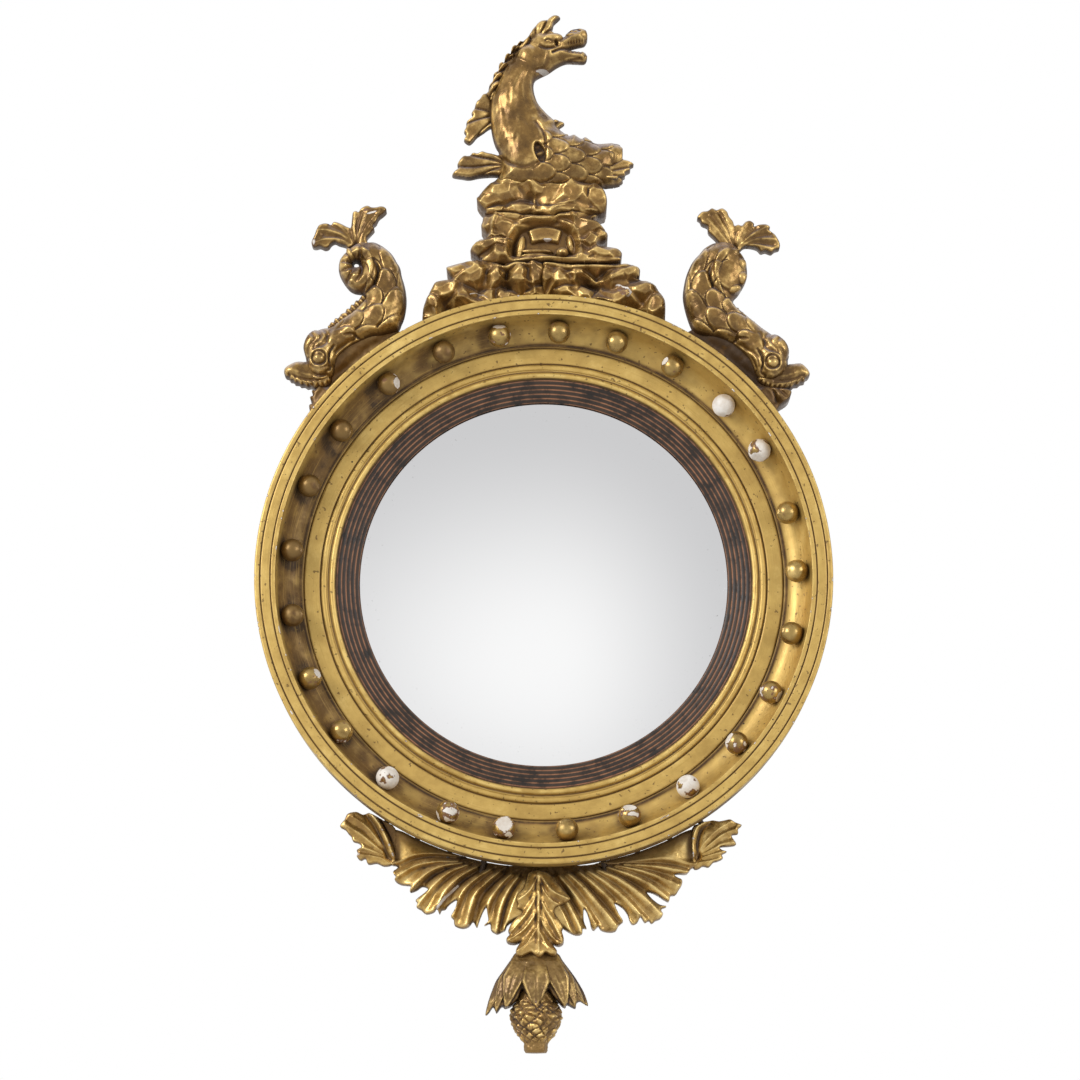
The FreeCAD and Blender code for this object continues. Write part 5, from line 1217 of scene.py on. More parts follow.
SPINE = eased([(-250, 214), (-242, 234), (-230, 250), (-214, 263), (-196, 275), (-180, 290),
               (-172, 308), (-173, 328), (-181, 346), (-196, 356), (-210, 350), (-212, 338),
               (-205, 327), (-198, 334)], 8, False)


def dolphin_front(side):
    """Head, scaled back and coiled tail; the left one is the drawing, the right its mirror."""
    def front(x, z, inside):
        if side > 0:
            low = 1 - smooth(255, 320, z)
            x, z = -x + 4.5 * low, z + 4.5 * low + 2.5 * (1 - low)
        h = 21.0 * swelling(inside, 19.0)
        gap, along, hand = nearest(SPINE, x, z)[:3]
        zone = smooth(56, 72, along) * (1 - smooth(182, 190, along)) * smooth(1.0, 4.0, inside)
        h = h + zone * scales(along - 8, hand * gap + 3.0, 19.0, 23.0, 3.8)
        # the coil lies on the body and closes on itself in a spiral of folds
        coil = np.hypot((x + 200.5) / 20.0, (z - 337.5) / 25.0)
        h = np.where(coil < 1.0, h + 3.2 * smooth(1.0, 0.86, coil), h)
        h = stroke(h, x, z, [(-190, 310), (-181, 318), (-177, 328), (-178, 338), (-183, 346)],
                   2.2, 4.6 if side < 0 else 3.4)
        h = stroke(h, x, z, [(-197, 364), (-196, 354), (-197, 345), (-194, 336), (-196, 327),
                             (-202, 320)], 2.2, 5.0 if side < 0 else 0.0)
        if side < 0:
            for points in ([(-218, 345), (-210, 343), (-203, 343)],
                           [(-219, 334), (-210, 335), (-203, 340)],
                           [(-211, 319), (-207, 328), (-202, 338)],
                           [(-212, 357), (-207, 350), (-203, 345)]):
                h = stroke(h, x, z, points, 2.2, 4.0)
            h = boss(h, x, z, (-207, 352), (3.6, 7.5), 25, 12, 9)
            h = boss(h, x, z, (-204, 322), (5.0, 4.0), 0, 12, 8.5)
            h = h - 9.0 * bell(np.hypot(x + 201, z - 343), 3.6)
        else:
            for cx, cz, wide, high, turn in (
                    (-203, 355, 7, 6, 10), (-211, 343, 6, 7, 0), (-212, 328, 6, 8, -15),
                    (-197, 345, 7, 6, 30), (-199, 330, 9, 8, 5), (-203, 316, 8, 5, -10)):
                h = boss(h, x, z, (cx, cz), (wide, high), turn, 14.5, 7.5)
        # smooth flank behind the gill, its lower edge rolled
        h = stroke(h, x, z, [(-214, 262), (-204, 263), (-195, 259), (-184, 257)], 1.4, 2.6)
        h = stroke(h, x, z, [(-224, 230), (-221, 241), (-212, 249), (-198, 257), (-180, 262)],
                   1.6, -2.2)
        # head: forehead dome, brow locks, ringed eye in a swirl, cheek
        h = boss(h, x, z, (-239, 249), (17, 22), 35, 8, 16)
        for points in ([(-249, 266), (-244, 258), (-250, 248), (-252, 240)],
                       [(-243, 269), (-237, 261), (-243, 252), (-247, 243)],
                       [(-236, 271), (-231, 262), (-236, 254), (-241, 248)]):
            h = stroke(h, x, z, points, 2.0, 2.2)
        h = stroke(h, x, z, [(-226, 271), (-229, 262), (-233, 252), (-246, 246)], 2.2, 3.0)
        h = boss(h, x, z, (-239, 237), (11.5, 11.5), 0, 12, 8)
        ring = np.hypot(x + 239, z - 237)
        h = h - 1.9 * bell(ring - 7.2, 0.9) + 0.9 * bell(ring - 9.4, 1.1)
        h = np.where(ring < 6.6, np.maximum(h, 17.5 + 6.0 * np.sqrt(np.maximum(
            1 - (ring / 6.6) ** 2, 0))), h)
        h = cut_in(h, x, z, [
            ((-227, 238), (5.0, 13), -18, 9, 10),
            ([(-222, 252), (-227, 245), (-229, 236), (-227, 227), (-233, 222)], 1.3, 3.2),
            ([(-252, 228), (-246, 222), (-238, 219), (-229, 221)], 1.7, 4.6),
            ([(-251, 219), (-244, 214), (-236, 214)], 1.3, 2.4)
        ])
        # a thin rolled rim along the belly
        h = h + 2.2 * bell(inside - 1.6, 1.0) * (1 - smooth(34, 46, gap)) * (hand < 0) * (
            along > 30) * (along < 80)
        return 50.0 + h + 2.6 * lumps(x, 50 + h, z, 12.0, 27) * smooth(0, 4, inside)
    return front


def dolphin(side, body_line):
    """One dolphin's body with the small hole through the left one's coil."""
    hole = [(-201 + 2.6 * math.cos(a), 343 + 2.6 * math.sin(a))
            for a in np.linspace(0, 2 * np.pi, 12, endpoint=False)] if side < 0 else None
    carving("dolphin_body_" + ("left" if side < 0 else "right"), body_line, dolphin_front(side),
            round_back(50, 19, 20), hole=hole)


dolphin(-1, LEFT_BODY)
dolphin(1, RIGHT_BODY)

LEFT_TAIL = [
    (-195, 362), (-203, 364), (-209, 361), (-213, 364), (-220, 366), (-224, 368), (-228, 366),
    (-231, 362), (-235, 361), (-240, 363), (-244, 362), (-248, 363), (-249, 368), (-246, 375),
    (-242, 385), (-237, 388), (-232, 388), (-228, 387), (-225, 390), (-218, 388), (-210, 384),
    (-207, 384), (-206, 392), (-205, 400), (-202, 402), (-199, 401), (-196, 405), (-190, 408),
    (-185, 406), (-180, 406), (-175, 407), (-171, 406), (-169, 403), (-172, 399), (-177, 395),
    (-180, 389), (-183, 386), (-182, 382), (-186, 377), (-190, 372), (-189, 366),
]
RIGHT_TAIL = [
    (196, 360), (191, 364), (188, 367), (183, 373), (177, 379), (176, 385), (170, 388), (168, 392),
    (165, 395), (170, 401), (176, 402), (181, 405), (186, 403), (192, 405), (197, 401), (199, 396),
    (203, 391), (205, 386), (209, 387), (213, 386), (217, 390), (222, 391), (226, 388), (226, 385),
    (232, 387), (239, 387), (243, 384), (242, 381), (247, 377), (250, 373), (253, 367), (253, 361),
    (248, 359), (244, 356), (238, 358), (233, 357), (229, 361), (222, 363), (215, 363), (209, 358),
    (203, 358),
]


def leafy(root, level, ribs, furrows, rise, width, soft, fall=0.0):
    """A leaf or spray: sharp curved ribs with gouged furrows between, thin at its edge."""
    def front(x, z, inside):
        far = np.hypot(x - root[0], z - root[1])
        h = level - fall * far - 3.0 * (1 - swelling(inside, 3.0))
        for points in furrows:
            h = stroke(h, x, z, points, width, soft * 1.7, False)
        for points in ribs:
            h = crest(h, x, z, points, width, rise, stop=0.75)
        return h + 1.6 * lumps(x, h, z, 8.0, 29)
    return front


def tail_gesso(x, z, height):
    """Chipped tips of the left dolphin's tail leaves: white gesso over red-brown bole."""
    tip = 0.8 * bell(np.hypot((x + 246.5) / 2.4, (z - 367) / 5.0), 1.0)
    top = 0.62 * bell(np.hypot((x + 229) / 5.0, (z - 388.5) / 1.8), 1.0)
    broken = 0.46 * bell(np.hypot((x + 190) / 9.0, (z - 403) / 3.6), 1.0)
    edge = 0.85 * bell((z - 398.5) - 0.28 * (x + 188), 1.3) * bell(x + 185, 8.0)
    return np.clip(np.maximum.reduce([tip, top, broken, edge]), 0, 0.9)


LEFT_RIBS = [
    [(-203, 362), (-216, 374), (-232, 380), (-244, 380)],
    [(-203, 362), (-218, 370), (-234, 370), (-246, 366)],
    [(-202, 362), (-212, 378), (-222, 386)], [(-202, 362), (-203, 380), (-203, 396)],
    [(-201, 362), (-196, 384), (-189, 402)], [(-200, 362), (-190, 384), (-176, 402)],
]
LEFT_FURROWS = [
    [(-204, 364), (-218, 372), (-236, 375)], [(-203, 366), (-214, 379), (-230, 386)],
    [(-202, 366), (-208, 380)], [(-201, 366), (-200, 384), (-196, 400)],
    [(-200, 366), (-193, 380), (-182, 396)],
]
RIGHT_RIBS = [
    [(202, 360), (190, 376), (176, 392)], [(203, 360), (194, 382), (184, 400)],
    [(204, 360), (200, 382), (193, 400)], [(206, 360), (210, 376), (218, 388)],
    [(207, 360), (222, 374), (240, 384)], [(207, 359), (226, 370), (248, 370)],
    [(207, 359), (224, 364), (242, 360)],
]
RIGHT_FURROWS = [
    [(203, 363), (193, 378), (180, 396)], [(204, 364), (198, 380), (189, 399)],
    [(205, 364), (206, 376)], [(206, 362), (216, 372), (228, 382)],
    [(207, 361), (224, 371), (244, 376)], [(207, 360), (226, 366), (246, 364)],
]
for word, side, line, ribs, furrows in (("left", -1, LEFT_TAIL, LEFT_RIBS, LEFT_FURROWS),
                                        ("right", 1, RIGHT_TAIL, RIGHT_RIBS, RIGHT_FURROWS)):
    front = leafy((side * 202, 360), 57.5, ribs, furrows, 1.9, 2.4, 1.1, -0.05)
    carving("dolphin_tail_" + word, line, front, flat_back(40),
            marks={"gesso": tail_gesso} if side < 0 else None)

LEFT_LIP = [
    (-248, 236), (-256, 236), (-264, 236), (-271, 233), (-276, 229), (-277, 224), (-275, 220),
    (-272, 219), (-270, 216), (-267, 215.5), (-265, 213), (-261, 212.5), (-259, 210.5),
    (-255, 210.5), (-252, 208.5), (-248, 209), (-244, 207), (-240, 208), (-234, 208),
    (-228, 211), (-226, 218), (-234, 228),
]
RIGHT_LIP = [
    (250, 233), (258, 233), (268, 234), (275, 234), (281, 229), (284, 223), (282, 219), (279, 217),
    (278, 214), (274, 213), (271, 210.5), (267, 210), (264, 207.5), (260, 207), (256, 205.5),
    (251, 206), (246, 205), (240, 207), (232, 211), (228, 218), (240, 226),
]


def lip_front(side):
    """Curled upper lip, flat on top, with a beaded edge below."""
    def front(x, z, inside):
        if side > 0:
            x, z = -x + 6.0, z + 1.5
        h = 52.0 + 9.0 * swelling(inside, 8.0) + 2.0 * smooth(-236, -272, x)
        h = stroke(h, x, z, [(-272, 222), (-262, 217.5), (-250, 215), (-238, 215)], 1.5, 2.2)
        h = stroke(h, x, z, [(-270, 227), (-260, 223), (-248, 220), (-236, 219)], 2.4, -1.2)
        beads = bell(inside - 2.2, 1.8) * smooth(228, 220, z)
        h = h + 1.0 * beads * np.cos((x * 0.93 + z * 0.36) * 2 * np.pi / 5.0)
        return h + 1.6 * lumps(x, h, z, 7.0, 33, 2)
    return front


LEFT_FIN = [
    (-190, 303), (-193, 309), (-196, 308), (-198, 304), (-201, 304), (-203, 300), (-206, 299),
    (-208, 295), (-211, 294), (-213, 290), (-217, 289), (-219, 285), (-223, 284), (-225, 280),
    (-228, 279), (-231, 274), (-226, 271), (-212, 281), (-200, 291),
]
RIGHT_FIN = [(-x + 2.5, z - 3.5) for x, z in LEFT_FIN]


def fin_front(side):
    """A ruffled edge of small rounded folds."""
    def front(x, z, inside):
        if side > 0:
            x, z = -x + 2.5, z + 3.5
        way = (x + 230) * 0.74 + (z - 274) * 0.67
        return 53.0 + 5.0 * swelling(inside, 3.5) + 1.3 * np.cos(way * 2 * np.pi / 5.6)
    return front


def arc(side, first, last, count=7):
    """Points just outside the lip between two angles from the top."""
    return [(side * LIP_EDGE * math.sin(math.radians(a)), LIP_EDGE * math.cos(math.radians(a)))
            for a in np.linspace(first, last, count)]


LEFT_SEAT = [
    (-158, 273), (-172, 270), (-185, 267), (-197, 263), (-208, 257), (-217, 250), (-224, 241),
    (-227, 228), (-233, 219), (-240, 212), (-243, 206), (-247, 204), (-246, 200), (-249, 197),
    (-247, 192), (-250, 188),
] + arc(-1, 54, 30)
RIGHT_SEAT = [
    (158, 272), (172, 269), (185, 266), (197, 262), (208, 254), (217, 245), (224, 237), (229, 224),
    (236, 213), (245, 208), (252, 207), (259, 206), (264, 203), (262, 197), (258, 193), (252, 189),
    (249, 184),
] + arc(1, 54, 30)


def seat_front(x, z, inside):
    """The block under the belly: a hollowed dark wedge, feathered where it runs out below."""
    x = np.abs(x)
    h = 57.0 - 5.0 * bell(np.hypot(x, z) - 312, 7.0) - 3.0 * (1 - swelling(inside, 3.0))
    foot = 1 - smooth(204, 212, z)
    uneven = lumps(x, h, z, 9.0, 35, 2)
    for points in ([(238, 212), (245, 202), (248, 190)], [(246, 210), (254, 202), (260, 196)]):
        h = stroke(h, x, z, points, 1.8, 2.6 * foot)
    return h + foot * 4.0 + 2.6 * uneven


for word, side, lip_line, fin_line, seat_line in (
        ("left", -1, LEFT_LIP, LEFT_FIN, LEFT_SEAT),
        ("right", 1, RIGHT_LIP, RIGHT_FIN, RIGHT_SEAT)):
    carving("dolphin_lip_" + word, lip_line, lip_front(side), flat_back(37))
    carving("dolphin_back_fin_" + word, fin_line, fin_front(side), flat_back(40), cell=0.6,
            name="dolphin_fin_%s_carved" % word)
    # painted shade under the belly darkens each seat, the right one more towards its top
    carving("dolphin_seat_" + word, seat_line, seat_front, flat_back(18), cell=0.9, soil=1.4,
            marks={"recess": lambda x, z, h: 0.45 + 0.5 * smooth(206, 216, z) * (x > 0)})

# ---------------------------------------------------------------- acanthus apron
SPRAY_LEFT = [
    (-159, -263.5), (-161, -280), (-160, -298), (-156, -300), (-153, -302), (-158, -307),
    (-155, -312), (-156, -316), (-150, -320), (-143, -321), (-139, -322), (-140, -328),
    (-133, -326), (-127, -322), (-121, -325), (-126, -330), (-134, -336), (-132, -340),
    (-133, -344), (-128, -347), (-123, -351), (-115, -349), (-112, -345), (-109, -351),
    (-107, -347), (-103, -346), (-99, -341), (-91, -336), (-92, -344), (-95, -350), (-97, -354),
    (-94, -357), (-93, -363), (-85, -366), (-78, -364), (-74, -359), (-70, -365), (-68, -360),
    (-65, -352), (-62, -346), (-60, -344), (-59, -350), (-58, -358), (-62, -363), (-56, -361),
    (-55, -368), (-49, -372), (-44, -370), (-40, -368), (-38, -363), (-30, -358), (-14, -352),
    (-8, -330), (-8, -301.5), (-40, -299.5), (-70, -293.8), (-100, -285.5), (-130, -273.5),
    (-148, -264.5),
]
SPRAY_RIGHT = [
    (160, -263.5), (148, -264.5), (130, -273.5), (100, -285.5), (70, -293.8), (40, -299.5),
    (-8, -301.5), (-8, -340), (4, -358), (20, -366), (26, -370), (33, -373), (40, -372), (41, -366),
    (45, -366), (42, -358), (42, -346), (45, -349), (48, -358), (50, -366), (53, -368), (57, -364),
    (60, -368), (68, -370), (75, -369), (78, -364), (81, -361), (83, -358), (78, -350), (74, -340),
    (79, -342), (84, -346), (88, -352), (90, -358), (93, -362), (98, -360), (101, -354),
    (103, -356), (106, -360), (110, -358), (113, -361), (117, -358), (122, -356), (125, -351),
    (123, -346), (129, -343), (122, -341), (115, -336), (108, -328), (114, -329), (120, -332),
    (126, -336), (131, -338), (133, -332), (138, -331), (142, -325), (145, -320), (145, -315),
    (141, -313), (137, -310), (142, -309), (150, -309), (155, -303), (160, -300), (161, -285),
]
LEFT_SPRAY_RIBS = [
    [(-92, -290), (-116, -288), (-136, -290), (-158, -299)],
    [(-90, -296), (-115, -297), (-136, -302), (-155, -314)],
    [(-86, -298), (-105, -301), (-122, -309), (-138, -325)],
    [(-80, -300), (-97, -307), (-113, -320), (-131, -342)],
    [(-70, -302), (-87, -312), (-102, -327), (-112, -348)],
    [(-56, -305), (-70, -314), (-84, -328), (-95, -353)],
    [(-46, -307), (-59, -318), (-72, -333), (-80, -364)],
    [(-34, -310), (-45, -321), (-56, -338), (-62, -361)],
    [(-27, -313), (-36, -326), (-44, -344), (-49, -370)],
    [(-20, -318), (-28, -331), (-34, -348), (-40, -367)],
]
RIGHT_SPRAY_RIBS = [
    [(86, -297), (105, -294), (127, -292), (156, -297)],
    [(84, -299), (105, -300), (130, -303), (152, -308)],
    [(76, -300), (96, -304), (118, -311), (141, -322)],
    [(68, -302), (88, -309), (110, -319), (130, -336)],
    [(58, -305), (78, -314), (98, -328), (121, -350)],
    [(48, -306), (64, -317), (84, -334), (106, -359)],
    [(38, -307), (52, -319), (70, -336), (90, -360)],
    [(27, -309), (41, -322), (58, -342), (76, -364)],
    [(17, -311), (29, -326), (44, -347), (56, -366)],
    [(10, -314), (20, -331), (31, -351), (40, -370)],
    [(5, -318), (12, -336), (21, -353), (28, -370)],
]


def between(ribs):
    """Furrows half-way between neighbouring ribs."""
    return [[((a[0] + b[0]) / 2, (a[1] + b[1]) / 2) for a, b in zip(one, two)]
            for one, two in zip(ribs, ribs[1:])]


def pleats(x, z, ribs, level, deep, notches, lean):
    """Furrows between neighbouring rounded ribs: level - deep sin(pi t) ^ 1.6 across each, t its
    share of the way over, steeper on the outer side; deeper where a notch parts lobes."""
    gaps = []
    for points in ribs:
        (ax, az), (bx, bz) = points[-2:]
        points = points + [(bx + 0.5 * (bx - ax), bz + 0.5 * (bz - az))]
        gap, _, side = nearest(eased(points, 5, False), x, z)[:3]
        gaps.append(side * gap)
    h = np.full(x.shape, float(level))
    widest = np.full(x.shape, 60.0)
    for number, (one, two) in enumerate(zip(gaps, gaps[1:])):
        width = np.abs(one) + np.abs(two)
        held = (one * two <= 0) & (width < widest)
        t = np.clip(np.abs(one) / np.maximum(width, 1e-3), 0, 1) ** lean
        depth = deep * np.minimum(1, width / 11.0) * (1.5 if number in notches else 1.0)
        h = np.where(held, level - depth * np.sin(np.pi * t) ** 1.6, h)
        widest = np.where(held, width, widest)
    return h


TIP_JOINT = 31.0      # depth at which a spray and its tip leaf meet


def spray_front(ribs, notches, deep, lean):
    """Sprays of acanthus: rounded ribs bow out from the root, parted by furrows that open to the
    tips; the surface falls back under the ring and to the joint with the tip leaf."""
    def front(x, z, inside):
        under = np.hypot(x, z) - 301
        h = pleats(x, z, ribs, 34.5, deep, notches, lean)
        h = h - 4.5 * (1 - smooth(0, 24, under)) + 2.5 * np.sin(np.clip((under - 24) / 40.0, 0, 1)
                                                                * np.pi * 0.8)
        joint = smooth(132, 155, np.abs(x)) * smooth(-302, -292, z)
        h = h + (TIP_JOINT - h) * joint
        return h + lumps(x, h, z, 9.0, 39) - 4.0 * (1 - swelling(inside, 3.5)) * (
            1 - smooth(155, 158, np.abs(x)))
    return front


def spray_gesso(x, z, height):
    """A split in the left spray's second lobe, its edges white."""
    gap = nearest(np.array([(-112, -346), (-103, -334), (-90, -322)], float), x, z)[0]
    return 0.85 * bell(gap, 1.8)


def spray_shade(x, z, height):
    """Painted shade in the flat under the ring and beside the tip leaf."""
    return 0.62 * np.maximum(1 - smooth(4, 19, np.hypot(x, z) - 301),
                             smooth(146, 154, np.abs(x)) * smooth(-302, -292, z))


carving("apron_spray_left", SPRAY_LEFT, spray_front(LEFT_SPRAY_RIBS, (2, 4, 6), 6.4, 0.7),
        flat_back(13), "leaf_gilding", 0.75, corner=3, soil=0.7,
        marks={"gesso": spray_gesso, "recess": spray_shade})
carving("apron_spray_right", SPRAY_RIGHT, spray_front(RIGHT_SPRAY_RIBS, (3, 6, 8), 5.4, 1.35),
        flat_back(13), "leaf_gilding", 0.75, corner=3, soil=0.42,
        marks={"recess": spray_shade, "rub": lambda x, z, h: 0.4 + 0 * x})

TIP_LEFT = [
    (-180, -247), (-184, -245), (-190, -247), (-197, -244), (-206, -246), (-209, -252),
    (-214, -259), (-208, -263), (-205, -267), (-202, -270), (-200, -275), (-194, -277),
    (-191, -281), (-196, -284), (-195, -288), (-196, -291), (-192, -295), (-187, -293),
    (-184, -299), (-175, -298), (-168, -301), (-160, -300), (-155.5, -296), (-155.5, -285),
    (-155.5, -262), (-166, -254.5), (-175, -249),
]
TIP_RIGHT = [
    (172, -254), (178, -253), (184, -254), (190, -253), (196, -252), (201, -255), (208, -258),
    (204, -262), (204, -267), (198, -268), (198, -271), (202, -278), (196, -280), (185, -281),
    (187, -284), (192, -286), (187, -289), (188, -293), (182, -296), (178, -297), (173, -302),
    (167, -301), (162, -304), (157, -303), (155.5, -290), (155.5, -262), (164, -256.5),
]
LEFT_TIP_RIBS = [
    [(-160, -292), (-172, -276), (-186, -260), (-200, -250)],
    [(-160, -293), (-176, -281), (-192, -268), (-209, -258)],
    [(-160, -294), (-176, -287), (-188, -283), (-196, -280)],
    [(-160, -296), (-174, -292), (-186, -290), (-195, -290)],
]
RIGHT_TIP_RIBS = [
    [(160, -290), (170, -276), (182, -264), (196, -255)],
    [(160, -291), (174, -279), (188, -268), (204, -262)],
    [(160, -292), (175, -285), (188, -279), (199, -277)],
    [(160, -294), (172, -291), (182, -288), (190, -287)],
    [(160, -297), (168, -297), (176, -296), (184, -294)],
]


LEFT_FOLD = [(-180, -248), (-173, -257), (-167, -268), (-162, -279), (-157.5, -291)]
RIGHT_FOLD = [(169, -256), (161, -261), (157, -270), (155.5, -280), (156, -292)]


def tip_front(side, ribs, fold):
    """A leaf turned over on itself: a rolled fold down its inner edge."""
    leaf = leafy((side * 158, -292), 34.0, ribs, between(ribs), 1.6, 2.6, 0.9)
    inner = [(p + side * 6.0, q) for p, q in fold]

    def front(x, z, inside):
        h = stroke(leaf(x, z, inside), x, z, fold, 3.0, -5.5, False)
        h = stroke(h, x, z, inner, 2.6, 3.0, False)
        return h + (TIP_JOINT - h) * smooth(1.5, 5.0, beyond(side, fold, x, z))
    return front


def beyond(side, fold, x, z):
    """How far a place lies on the ring's side of the fold."""
    fold = sorted(fold, key=lambda spot: spot[1])
    return -side * (x - np.interp(z, [spot[1] for spot in fold], [spot[0] for spot in fold]))


def fold_shade(side, fold):
    """Painted shade: the flat between fold and ring is darkened brown."""
    return lambda x, z, height: 0.62 * smooth(1.0, 5.0, beyond(side, fold, x, z))


def fold_gesso(side):
    """Chips along the rolled fold and at the leaf's points."""
    fold = np.array([(-176, -252), (-167, -268), (-162, -279), (-157.5, -291)] if side < 0 else
                    [(161, -261), (157, -270), (155.5, -280), (157, -300)], float)

    def rule(x, z, height):
        gap = nearest(fold, x, z)[0]
        chance = mottle(at_depth(x, height, z), 3.5, 61)
        return np.clip(bell(gap, 1.6) * smooth(0.45, 0.75, chance) * 0.9
                       + 0.7 * bell(np.hypot(x - side * 195, z + 289), 3.0), 0, 0.9)
    return rule


for word, side, line, ribs, fold in (("left", -1, TIP_LEFT, LEFT_TIP_RIBS, LEFT_FOLD),
                                     ("right", 1, TIP_RIGHT, RIGHT_TIP_RIBS, RIGHT_FOLD)):
    carving("apron_tip_" + word, line, tip_front(side, ribs, fold), flat_back(17),
            "leaf_gilding", 0.75, corner=3,
            marks={"gesso": fold_gesso(side), "recess": fold_shade(side, fold)})

CENTRE_LEAF = [
    (-6, -306), (-12, -307), (-16, -309), (-19, -318), (-22, -326), (-27, -331), (-29, -337),
    (-27, -342), (-28, -346), (-22, -350), (-27, -355), (-33, -361), (-37, -370), (-35, -373),
    (-39, -378), (-37, -382), (-30, -383), (-24, -381), (-27, -386), (-29, -391), (-28, -396),
    (-23, -397.5), (-18, -395), (-13, -393), (-9, -396), (-5, -398.5), (-1, -396), (2, -393),
    (7, -396), (12, -396.5), (14, -392), (12, -388), (9, -383), (15, -385), (20, -383), (21, -378),
    (19, -370), (20, -365), (15, -357), (11, -350), (13, -345), (22, -341), (28, -337), (24, -331),
    (18, -324), (12, -317), (5, -309),
]
CENTRE_RIBS = [
    [(-6, -310), (-10, -320), (-16, -330), (-26, -338)],
    [(-6, -326), (-11, -340), (-19, -354), (-34, -371)],
    [(-6, -345), (-12, -358), (-22, -370), (-37, -380)],
    [(-6, -362), (-11, -374), (-18, -384), (-28, -392)],
    [(-4, -308), (2, -320), (11, -330), (26, -337)],
    [(-5, -312), (0, -328), (8, -338), (16, -343)],
    [(-5, -330), (1, -346), (8, -358), (18, -378)],
    [(-5, -350), (0, -364), (8, -376), (18, -383)],
    [(-5, -368), (-1, -378), (4, -386), (11, -392)],
]
CENTRE_FURROWS = [
    [(-8, -316), (-13, -334), (-24, -350)], [(-8, -336), (-15, -354), (-30, -374)],
    [(-8, -354), (-14, -368), (-28, -382)], [(-3, -318), (4, -332), (18, -341)],
    [(-3, -322), (3, -342), (12, -354)], [(-3, -340), (4, -358), (14, -378)],
    [(-3, -360), (2, -372), (10, -384)],
]


def centre_leaf_front(x, z, inside):
    """The hanging leaf: raised midrib, bowed side ribs with light edges, blades falling off."""
    h = 47.0 - 0.10 * np.abs(x + 5) - 4.0 * (1 - swelling(inside, 4.0)) - 7.0 * (1 - smooth(
        0, 26, -z - 306))
    for points in CENTRE_FURROWS:
        h = stroke(h, x, z, points, 3.4, 2.6, False)
    for points in CENTRE_RIBS:
        h = crest(h, x, z, points, 1.9, 3.0, stop=0.8)
    h = stroke(h, x, z, [(-8.5, -312), (-8, -350), (-8.5, -384)], 1.6, 1.4)
    h = stroke(h, x, z, [(-2.5, -312), (-3, -350), (-2.5, -384)], 1.6, 1.2)
    h = stroke(h, x, z, [(-5.5, -306), (-5.5, -350), (-5.5, -394)], 1.5, -1.8, False)
    return h + 6.5 * smooth(-378, -394, z) + 1.6 * lumps(x, h, z, 7.0, 41)


carving("apron_centre_leaf", CENTRE_LEAF, centre_leaf_front, flat_back(13), "leaf_gilding", 0.65,
        corner=3)

CALYX = [
    (-27, -391), (-35, -401), (-42, -411), (-49, -421), (-54, -433), (-58, -445), (-60.5, -457),
    (-57, -455), (-53, -449), (-51, -451), (-49, -455), (-46, -451), (-43, -448), (-40, -450),
    (-33, -447), (-27, -441), (-22.5, -431), (-19, -436), (-14, -444), (-8, -451), (-3, -444),
    (2, -436), (5, -431), (9, -437), (15, -444), (22, -449.5), (24, -446), (28, -448), (33, -450),
    (34, -445), (38, -443), (46, -448), (44, -439), (40, -430), (34, -420), (27, -410), (20, -401),
    (13, -392), (-8, -389),
]
CALYX_ROWS = np.array([(-388, 19, 11), (-402, 29.5, 20), (-415, 37, 25), (-425, 44, 27),
                       (-437, 49.5, 27), (-449, 53, 25.5), (-458, 54, 24)], float)
# petals, front ones last: tip x and z, half width, standing forward
PETALS = [
    (-60, -457, 10, 0.6), (46, -448, 10, 0.6), (-50, -455, 7, 2.4), (34, -450, 7, 2.4),
    (-39, -451, 11, 4.6), (23, -450.5, 11, 4.6), (-8, -453, 15, 8.0),
]


def bell_at(z):
    """Half width and thickness of the calyx at a height."""
    return [np.interp(-z, -CALYX_ROWS[:, 0], CALYX_ROWS[:, column]) for column in (1, 2)]


def calyx_front(x, z, inside):
    """A bell of overlapping petals over the cone: each widens from the neck to 0.55 of its length
    and closes to its tip, standing a little off the one below."""
    half, thick = bell_at(z)
    middle = DROP_X + 0.02 * (z + 390)
    across = np.clip((x - middle) / half, -1, 1)
    base = 40.0 + (thick - 9.5) * np.sqrt(1 - across ** 2)
    h = base.copy()
    for tip_x, tip_z, wide, lift in PETALS:
        top_x, top_z = DROP_X + (tip_x - DROP_X) * 0.34, -391.0
        reach = math.hypot(tip_x - top_x, tip_z - top_z)
        ux, uz = (tip_x - top_x) / reach, (tip_z - top_z) / reach
        way = ((x - top_x) * ux + (z - top_z) * uz) / reach
        bow = 0.10 * (tip_x - DROP_X) * np.sin(np.pi * np.clip(way, 0, 1))
        off = (x - top_x - bow) * uz - (z - top_z) * ux
        shape = wide * np.minimum(1, 0.45 + way) * np.clip((1.02 - way) / 0.52, 0.02, 1) ** 0.80
        q = np.abs(off) / shape
        raised = lift * smooth(0.1, 0.6, way)
        petal = base + raised - 1.5 * q ** 2 * smooth(0.1, 0.5, way) + 2.2 * bell(q - 0.88, 0.10) \
            * smooth(0.25, 0.55, way) - 0.9 * bell(off, 1.6) * smooth(0.2, 0.5, way)
        h = np.where((q < 1) & (way > 0) & (way < 1.02), np.maximum(petal, h), h)
    h = np.minimum(h + 1.8 * lumps(x, h, z, 6.0, 71), 67.0)
    return h - 2.5 * (1 - swelling(inside, 2.5))


def calyx_back(x, z, inside):
    """The bell's back, a flatter round."""
    across = np.clip((x - DROP_X) / bell_at(z)[0], -1, 1)
    return 38.0 - 23.0 * np.sqrt(1 - across ** 2)


def calyx_gesso(x, z, height):
    """A white bead in the calyx and a chip near the middle petal's point."""
    bead = 0.9 * bell(np.hypot(x + 21, z + 444), 2.6)
    return np.maximum(bead, 0.6 * bell(np.hypot((x - DROP_X) / 1.6, (z + 446) / 5.0), 1.0))


